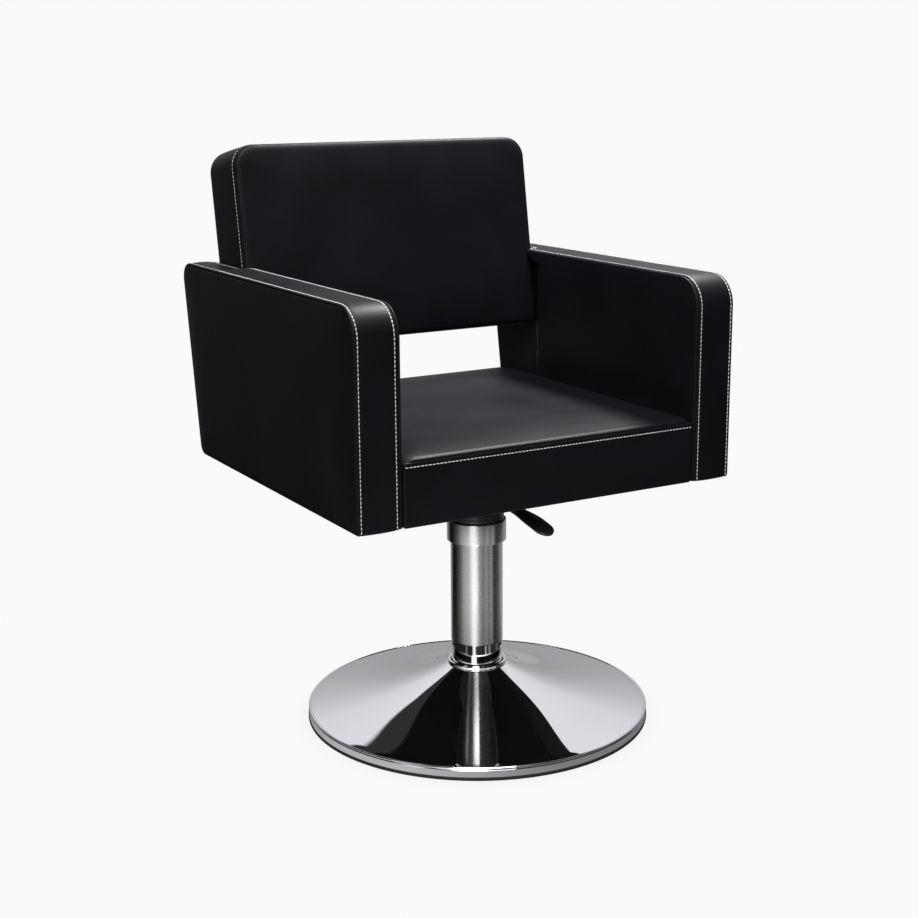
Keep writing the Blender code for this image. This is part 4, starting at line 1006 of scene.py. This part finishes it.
def build_cover():
    bottom = cover_low.z
    radii = [NECK_RADIUS + (EDGE_RADIUS - NECK_RADIUS) * (i / FLARE_STEPS) ** 1.25
             for i in range(FLARE_STEPS + 1)]
    profile = [(COVER_HOLE, COVER_TOP - 0.0004), (COVER_HOLE + 0.0004, COVER_TOP),
               (NECK_RADIUS - 0.001, COVER_TOP)]
    profile += [(radius, cover_height(radius)) for radius in radii[1:-1]]
    # rolled bead at the rim, then the straight skirt
    profile += [(EDGE_RADIUS, EDGE_Z - 0.0003), (EDGE_RADIUS + 0.0003, EDGE_Z - 0.0012),
                (EDGE_RADIUS + 0.0008, EDGE_Z - 0.0014)]
    profile += arc(COVER_RADIUS - 0.0016, 0.0187, 0.0017, 150.0, -50.0, 12)
    profile += [(COVER_RADIUS - 0.0009, 0.0167), (COVER_RADIUS - 0.0004, 0.0163),
                (COVER_RADIUS, 0.0158), (COVER_RADIUS, bottom + 0.0004),
                (COVER_RADIUS - 0.0004, bottom), (COVER_RADIUS - COVER_WALL, bottom),
                (COVER_RADIUS - COVER_WALL, 0.0175)]
    profile += [cover_underside(radius) for radius in radii[:0:-1]]
    profile.append((COVER_HOLE, COVER_TOP - COVER_WALL))
    cover = lathe("base_cover_chrome", profile, [CHROME], 256)
    install(cover, "base", "mirror_chrome", "base_cover")


def build_floor_pad():
    """Rubber disc with eight raised rings underneath."""
    edge, top, groove = pad_high.x, pad_high.z, 0.0006
    profile = [(0.0, groove), (0.0400, groove)]
    for i in range(8):
        radius = 0.060 + 0.025 * i
        profile += [(radius, groove), (radius + 0.0010, 0.0), (radius + 0.0120, 0.0),
                    (radius + 0.0130, groove)]
    profile += [(edge - 0.0010, groove), (edge - 0.0004, 0.0009), (edge, 0.0014),
                (edge, top - 0.0004), (edge - 0.0004, top), (0.0, top)]
    sole = lathe("floor_pad_rubber", profile, [RUBBER], 160)
    install(sole, "base", "black_rubber", "floor_pad")


def build_gasket():
    bore, edge, top = pad_high.x + 0.0006, gasket_high.x, gasket_high.z
    profile = [(bore, 0.0003), (pad_high.x + 0.0010, 0.0)]
    profile += round_bottom(edge, 0.0, radius=0.0016, start=-80.0, steps=5)
    profile += round_top(edge, top, radius=0.0014, steps=5)
    profile += [(bore, top)]
    gasket = lathe("edge_gasket_rubber", profile, [RUBBER], 256)
    install(gasket, "base", "black_rubber", "edge_gasket")


def build_neck_ring():
    """Ring between the flared cover and the column tube."""
    bore, bottom, top = 0.0427, ring_low.z, ring_high.z
    profile = [(bore, bottom), (NECK_RADIUS - 0.0006, bottom)]
    profile += round_bottom(NECK_RADIUS, bottom, radius=0.0010, start=-60.0, steps=4)
    profile += round_top(NECK_RADIUS, top, radius=0.0024, steps=8)
    profile += [(NECK_RADIUS - 0.0034, top), (bore + 0.0010, top - 0.0010),
                (bore, top - 0.0024)]
    neck = lathe("neck_ring_chrome", profile, [CHROME], 192)
    install(neck, "base", "mirror_chrome", "neck_ring")


def build_tube():
    outer, bottom, top = tube_high.x, tube_low.z, tube_high.z
    bore = outer - 0.0013
    profile = [(bore, bottom), (outer, bottom), (outer, top - 0.0006), (outer - 0.0004, top),
               (bore, top)]
    tube = lathe("column_tube_chrome", profile, [CHROME], 192)
    install(tube, "base", "mirror_chrome", "column_tube")


build_cover()
build_floor_pad()
build_gasket()
build_neck_ring()
build_tube()

# -------------------------------------------------------------------- column
sleeve_low, sleeve_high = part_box("column_sleeve")
collar_low, collar_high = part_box("column_collar")
cap_low, cap_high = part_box("hub_cover")
TOP_HOLE = 0.0264               # hole through the collar's top and the hub cover


def build_sleeve():
    outer, bottom, top = sleeve_high.x, sleeve_low.z, sleeve_high.z
    bore = outer - 0.0008
    profile = [(bore, bottom + 0.0003), (bore + 0.0002, bottom), (outer - 0.0003, bottom),
               (outer - 0.0001, bottom + 0.0002), (outer, bottom + 0.0006),
               (outer, bottom + 0.0012), (outer, top), (bore, top)]
    sleeve = lathe("column_sleeve_brushed", profile, [BRUSHED, CHROME], 192,
                   bands=[1, 1, 1, 1, 1, 0, 0, 0])
    install(sleeve, "seat", "brushed_steel", "column_sleeve")


def build_collar():
    """Brushed side, bright edges and bore, turned top face."""
    outer, bottom, top = collar_high.x, collar_low.z, collar_high.z
    bore = sleeve_high.x + CLEARANCE
    lower = round_bottom(outer, bottom, radius=0.0012, start=-90.0, steps=5)
    upper = round_top(outer, top, radius=0.0016, steps=6)
    profile = [(bore, bottom + 0.0004), (bore + 0.0004, bottom)] + lower + upper
    profile += [(TOP_HOLE, top), (TOP_HOLE, top - 0.0030), (bore, top - 0.0030)]
    bands = [1] * (len(lower) + 1) + [0] + [1] * (len(upper) - 1) + [2, 1, 1, 1]
    collar = lathe("column_collar_brushed", profile, [BRUSHED, CHROME, TURNED_FACE], 192,
                   bands=bands)
    install(collar, "seat", "brushed_steel", "column_collar")


def build_hub_cover():
    outer, bottom, top = cap_high.x, cap_low.z, cap_high.z
    profile = [(TOP_HOLE, bottom), (outer - 0.0006, bottom)]
    profile += round_bottom(outer, bottom, radius=0.0010, start=-60.0, steps=4)
    # shallow groove round the side
    profile += [(outer, bottom + 0.0052), (outer - 0.0007, bottom + 0.0058),
                (outer - 0.0007, bottom + 0.0066), (outer, bottom + 0.0072)]
    profile += round_top(outer, top, radius=0.0040, steps=10)
    profile += [(TOP_HOLE + 0.0040, top), (TOP_HOLE + 0.0034, top - 0.0010),
                (TOP_HOLE, top - 0.0010)]
    cap = lathe("hub_cover_plastic", profile, [PLASTIC], 160)
    install(cap, "seat", "black_plastic", "hub_cover")


build_sleeve()
build_collar()
build_hub_cover()

# -------------------------------------------------------------- lever paddle
GRIP_ROOT, GRIP_TIP = Vector((0.0010, -0.1060, 0.3722)), Vector((0.0140, -0.1960, 0.3492))
GRIP_STATIONS, GRIP_SIDES = 72, 48
GRIP_ROOT_WIDTH, GRIP_WIDTH, GRIP_THICK = 0.0175, 0.0335, 0.0118
GRIP_BOW = 0.0030
SPINE_HEIGHT = 0.0012
# centre line of the slot for the flat lever bar, and half its section
BAR_LINE = [(0.0004, -0.0900, 0.3766), (0.0010, -0.1060, 0.3722), (0.0040, -0.1266, 0.3672)]
BAR_HALF_WIDTH, BAR_HALF_THICK = 0.0056, 0.0031


def axes_across(direction):
    """Sideways (level) and upward axes square to a direction."""
    side = direction.cross(UP).normalized()
    return side, side.cross(direction)


def grip_section(share):
    """Swell, half width and half thickness at a share of the length."""
    swell = 0.5 - 0.5 * math.cos(math.pi * min(share / 0.6, 1.0))
    width = (GRIP_ROOT_WIDTH + (GRIP_WIDTH - GRIP_ROOT_WIDTH) * swell) / 2.0
    thick = GRIP_THICK / 2.0
    if share > 0.80:
        close = math.sqrt(max(1.0 - ((share - 0.80) / 0.20) ** 2, 0.0004))
        width *= close
        thick *= 0.30 + 0.70 * close
    if share < 0.03:
        ease = 0.80 + 0.20 * math.sqrt(share / 0.03)
        width *= ease
        thick *= ease
    return swell, width, thick


def bar_slot():
    """(points, faces) of the bent bar cut into the root of the grip."""
    points = []
    for i, spot in enumerate(BAR_LINE):
        before, after = Vector(BAR_LINE[max(i - 1, 0)]), Vector(BAR_LINE[min(i + 1, 2)])
        side, upward = axes_across((after - before).normalized())
        for across, lift in ((-1, -1), (1, -1), (1, 1), (-1, 1)):
            points.append(tuple(Vector(spot) + side * (across * BAR_HALF_WIDTH)
                                + upward * (lift * BAR_HALF_THICK)))
    faces = [(0, 1, 2, 3), (11, 10, 9, 8)]
    for layer in (0, 4):
        faces += [(layer + i, layer + (i + 1) % 4, layer + 4 + (i + 1) % 4, layer + 4 + i)
                  for i in range(4)]
    return points, faces


def build_paddle():
    side, upward = axes_across((GRIP_TIP - GRIP_ROOT).normalized())
    verts, faces = [], []
    for i in range(GRIP_STATIONS + 1):
        share = i / GRIP_STATIONS
        swell, width, thick = grip_section(share)
        centre = GRIP_ROOT.lerp(GRIP_TIP, share) + upward * (GRIP_BOW * math.sin(math.pi * share))
        for k in range(GRIP_SIDES):
            angle = 2.0 * math.pi * k / GRIP_SIDES
            cosine, sine = math.cos(angle), math.sin(angle)
            # flattened section with a raised spine along the top
            x = width * math.copysign(abs(cosine) ** 0.80, cosine)
            z = thick * math.copysign(abs(sine) ** 0.90, sine)
            if sine > 0.0:
                z -= (SPINE_HEIGHT * swell * (1.0 - math.exp(-((cosine / 0.28) ** 2)))
                      * (1.0 - abs(cosine) ** 4))
            verts.append(centre + side * x + upward * z)
    for i in range(GRIP_STATIONS):
        near, far = i * GRIP_SIDES, (i + 1) * GRIP_SIDES
        for k in range(GRIP_SIDES):
            j = (k + 1) % GRIP_SIDES
            faces.append((near + k, near + j, far + j, far + k))
    faces.append(tuple(range(GRIP_SIDES))[::-1])
    faces.append(tuple(GRIP_STATIONS * GRIP_SIDES + k for k in range(GRIP_SIDES)))
    paddle = new_object("lever_paddle_grip", verts, faces, [PLASTIC])
    carve(paddle, cutter(solids=[bar_slot()]))
    install(paddle, "lever", "black_plastic", "lever_paddle")


build_paddle()

# --------------------------------------------------------------------- stage
# Turns are degrees round the chair from the camera's side: 0 towards the
# camera, +90 to its right hand, 180 at the backdrop.
VIEW_AZIMUTH, VIEW_PITCH, VIEW_ROLL = -0.524882, 0.238566, -0.00652803     # radians
TOWARDS = (math.sin(VIEW_AZIMUTH), -math.cos(VIEW_AZIMUTH))
RIGHTWARDS = (math.cos(VIEW_AZIMUTH), math.sin(VIEW_AZIMUTH))
PALE = (0.956, 0.956, 0.956)    # floor and background as the camera sees them

# Glow of the floor in reflections, (turn, level), from the base outwards.
FLOOR_SKIRT = [
    (-180, 0.30), (-120, 0.15), (-100, 0.17), (-75, 0.34), (-54, 0.47), (-25, 0.50), (-8, 0.42),
    (2, 0.35), (16, 0.27), (29, 0.22), (59, 0.20), (93, 0.175), (130, 0.17), (180, 0.30)]
FLOOR_NEAR = [
    (-180, 0.42), (-156, 0.42), (-148, 0.02), (-100, 0.012), (-52, 0.02), (-49, 0.16),
    (-45, 0.16), (-42, 0.02), (-21, 0.02), (-17, 0.92), (-8, 0.95), (-5, 0.06), (8, 0.03),
    (33, 0.02), (36, 0.42), (39, 0.42), (42, 0.03), (51, 0.05), (53, 0.26), (57, 0.26),
    (62, 0.02), (86, 0.03), (98, 0.10), (112, 0.03), (140, 0.03), (150, 0.42), (180, 0.42)]
# the spill of the soft lights, which the column mirrors
FLOOR_SPILL = [
    (-180, 0.27), (-146, 0.25), (-128, 0.0), (-112, 0.0), (-100, 0.02), (-84, 0.10),
    (-74, 0.20), (-66, 0.38), (-59, 0.56), (-49, 0.68), (-38, 0.86), (-30, 1.02), (-22, 1.30),
    (-6, 1.36), (4, 1.20), (9, 0.56), (24, 0.32), (36, 0.30), (40, 0.50), (45, 0.50),
    (49, 0.24), (58, 0.28), (62, 0.46), (68, 0.40), (77, 0.03), (90, 0.05), (108, 0.10),
    (126, 0.30), (150, 0.34), (180, 0.27)]
FLOOR_DISTANT = [
    (-180, 0.35), (-146, 0.34), (-128, 0.02), (-28, 0.02), (-23, 1.3), (-5, 1.3), (0, 0.02),
    (110, 0.02), (145, 0.34), (180, 0.35)]
# distances from the axis over which each floor zone gives way to the next
SKIRT_TO_NEAR, NEAR_TO_SPILL, SPILL_TO_DISTANT = (0.314, 0.320), (0.376, 0.390), (1.20, 1.50)
SPILL_GAIN = 1.38
MATT_BOUNCE = 0.05              # even floor glow that matt surfaces get

# World light: heights are the z of the ray direction.
BACKDROP = [(0.0, 0.36), (0.10, 0.38), (0.22, 0.44), (0.34, 0.56), (0.46, 0.74), (0.60, 0.80),
            (1.0, 0.85)]                                    # (height, level)
BACKDROP_EDGE = [                                           # (turn, height of its top)
    (-180, 0.585), (-167, 0.585), (-159, 0.628), (-146, 0.652), (-130, 0.66), (130, 0.74),
    (158, 0.72), (166, 0.66), (174, 0.62), (180, 0.585)]
ROOM = [                                                    # (turn, level)
    (-180, 0.50), (-140, 0.40), (-124, 0.01), (-107, 0.03), (-93, 0.06), (-81, 0.13),
    (-70, 0.24), (-59, 0.42), (-49, 0.55), (-40, 0.68), (-30, 0.85), (-20, 1.05), (-8, 1.10),
    (4, 0.95), (11, 0.50), (22, 0.34), (33, 0.30), (42, 0.44), (48, 0.28), (55, 0.27),
    (62, 0.40), (70, 0.30), (80, 0.08), (95, 0.08), (110, 0.14), (125, 0.30), (145, 0.50),
    (180, 0.50)]
ROOM_RISE = [(0.0, 0.10), (0.06, 0.35), (0.22, 1.0), (0.6, 1.0), (1.0, 0.8)]  # (height, share)
ROOM_GAIN = 0.075
TALL_STRIPS = [                                             # (turn, level)
    (-180, 0.0), (-64, 0.0), (-61, 1.4), (-50, 1.4), (-47, 0.0), (-21, 0.0), (-18, 6.0),
    (7, 6.0), (10, 0.0), (180, 0.0)]
LOW_STRIP = [(-180, 0.0), (-28, 0.0), (-23, 1.1), (-5, 1.1), (0, 0.0), (180, 0.0)]
ABOVE_BACKDROP, OVERHEAD = 0.03, 0.80                       # levels


def turn_and_height(net):
    x, y, z = net.split()
    forward = net.plus(net.times(x, TOWARDS[0]), net.times(y, TOWARDS[1]))
    across = net.plus(net.times(x, RIGHTWARDS[0]), net.times(y, RIGHTWARDS[1]))
    return net.times(net.calc("ARCTAN2", across, forward), 180.0 / math.pi), z


def floor_material():
    """Pale floor with a painted contact shade to the camera, a pattern of light to everything
    else.
    """
    net = Net("floor_pale")
    rays = net.add("ShaderNodeLightPath").outputs
    # to the camera the floor glows pale, darkened near the chair by a painted contact shade from
    # ambient occlusion
    occlusion = net.add("ShaderNodeAmbientOcclusion", samples=8)
    occlusion.inputs["Distance"].default_value = 0.10
    painted_contact_shade = net.remap(occlusion.outputs["AO"], span=(0.0, 1.0), to=(0.86, 1.0))
    seen = net.add("ShaderNodeEmission")
    net.link(net.mix(painted_contact_shade, (0.0, 0.0, 0.0), PALE), seen.inputs["Color"])
    turn, _ = turn_and_height(net)
    length = net.add("ShaderNodeVectorMath", operation="LENGTH")
    net.link(net.coord, length.inputs[0])
    away = length.outputs["Value"]
    zone = net.remap(away, span=SKIRT_TO_NEAR)
    level = net.plus(net.times(net.ramp(turn, FLOOR_NEAR), zone),
                     net.without(net.ramp(turn, FLOOR_SKIRT), zone))
    zone = net.remap(away, span=NEAR_TO_SPILL)
    spill = net.times(net.ramp(turn, FLOOR_SPILL), SPILL_GAIN)
    level = net.plus(net.without(level, zone), net.times(spill, zone))
    zone = net.remap(away, span=SPILL_TO_DISTANT)
    level = net.plus(net.without(level, zone), net.times(net.ramp(turn, FLOOR_DISTANT), zone))
    # the pattern is for mirror and gloss; matt surfaces get an even low bounce
    diffuse = rays["Is Diffuse Ray"]
    level = net.plus(net.without(level, diffuse), net.times(diffuse, MATT_BOUNCE))
    glow = net.add("ShaderNodeEmission")
    net.feed(glow.inputs["Color"], (0.99, 0.995, 1.01))
    net.link(level, glow.inputs["Strength"])
    blend = net.add("ShaderNodeMixShader")
    net.link(rays["Is Camera Ray"], blend.inputs[0])
    net.link(glow.outputs[0], blend.inputs[1])
    net.link(seen.outputs[0], blend.inputs[2])
    net.link(blend.outputs[0], net.out.inputs["Surface"])
    return net.owner


def build_floor():
    mesh = bpy.data.meshes.new("floor")
    work = bmesh.new()
    bmesh.ops.create_grid(work, x_segments=2, y_segments=2, size=40.0)
    work.to_mesh(mesh)
    work.free()
    floor = bpy.data.objects.new("floor", mesh)
    scene.collection.objects.link(floor)
    floor.location = (0.0, 0.0, -0.0002)
    mesh.materials.append(floor_material())


def strip_lights(net, turn, height, diffuse):
    """Upright strips near the lens that matt surfaces don't receive."""
    tall = net.without(net.ramp(turn, TALL_STRIPS), diffuse)
    band = net.times(net.remap(height, span=(0.36, 0.40)),
                     net.remap(height, span=(0.86, 0.90), to=(1.0, 0.0)))
    low = net.without(net.ramp(turn, LOW_STRIP), diffuse)
    return net.plus(net.times(tall, band), net.without(low, band))


def build_world():
    """Pale backdrop behind the chair; on the camera's side a dim room, brightest
    to the left of the lens, with strip lights."""
    net = Net("studio", world=True)
    scene.world = net.owner
    rays = net.add("ShaderNodeLightPath").outputs
    turn, height = turn_and_height(net)
    # the backdrop is a finite sheet; its top edge is lower on the left
    edge = net.ramp(turn, BACKDROP_EDGE)
    past = net.remap(net.calc("SUBTRACT", height, edge), span=(0.0, 0.012))
    backdrop = net.plus(net.without(net.ramp(height, BACKDROP), past),
                        net.times(past, ABOVE_BACKDROP))
    room = net.times(net.times(net.ramp(turn, ROOM), net.ramp(height, ROOM_RISE)), ROOM_GAIN)
    front = net.plus(room, strip_lights(net, turn, height, rays["Is Diffuse Ray"]))
    behind = net.remap(net.calc("ABSOLUTE", turn), span=(122.0, 146.0))
    overhead = net.remap(height, span=(0.92, 0.97))
    level = net.plus(net.without(front, behind), net.times(backdrop, behind))
    level = net.plus(net.without(level, overhead), net.times(overhead, OVERHEAD))
    lit = net.add("ShaderNodeBackground")
    net.feed(lit.inputs["Color"], (0.985, 0.995, 1.02))
    net.link(level, lit.inputs["Strength"])
    plain = net.add("ShaderNodeBackground")
    net.feed(plain.inputs["Color"], PALE)
    choose = net.add("ShaderNodeMixShader")
    net.link(rays["Is Camera Ray"], choose.inputs[0])
    net.link(lit.outputs[0], choose.inputs[1])
    net.link(plain.outputs[0], choose.inputs[2])
    net.link(choose.outputs[0], net.out.inputs["Surface"])


def softbox(name, location, side, power):
    """Square light aimed at the middle of the chair, hidden from the camera."""
    data = bpy.data.lights.new(name, "AREA")
    data.shape = "RECTANGLE"
    data.size = data.size_y = side
    data.energy = power
    obj = bpy.data.objects.new(name, data)
    scene.collection.objects.link(obj)
    obj.location = location
    aim = Vector((0.0, 0.0, 0.5)) - Vector(location)
    obj.rotation_mode = "QUATERNION"
    obj.rotation_quaternion = aim.to_track_quat("-Z", "Y")
    obj.visible_camera = False


def build_camera():
    data = bpy.data.cameras.new("camera")
    camera = bpy.data.objects.new("camera", data)
    scene.collection.objects.link(camera)
    scene.camera = camera
    data.sensor_width = 36.0
    data.lens = 62.1635294
    data.clip_start, data.clip_end = 0.05, 100.0
    backward = Vector((TOWARDS[0] * math.cos(VIEW_PITCH), TOWARDS[1] * math.cos(VIEW_PITCH),
                       math.sin(VIEW_PITCH)))
    right, upward = axes_across(-backward)
    cosine, sine = math.cos(VIEW_ROLL), math.sin(VIEW_ROLL)
    rolled = (right * cosine + upward * sine, -right * sine + upward * cosine, backward)
    matrix = Matrix(rolled).transposed().to_4x4()
    matrix.translation = Vector((-1.262245, -2.124500, 1.029615))
    camera.matrix_world = matrix


build_floor()
build_world()
softbox("key", location=(1.20, 0.60, 2.75), side=0.50, power=118.0)
softbox("fill", location=(-0.30, -0.80, 3.00), side=1.40, power=48.0)
build_camera()
scene.view_settings.view_transform = "Standard"
scene.view_settings.look = "None"
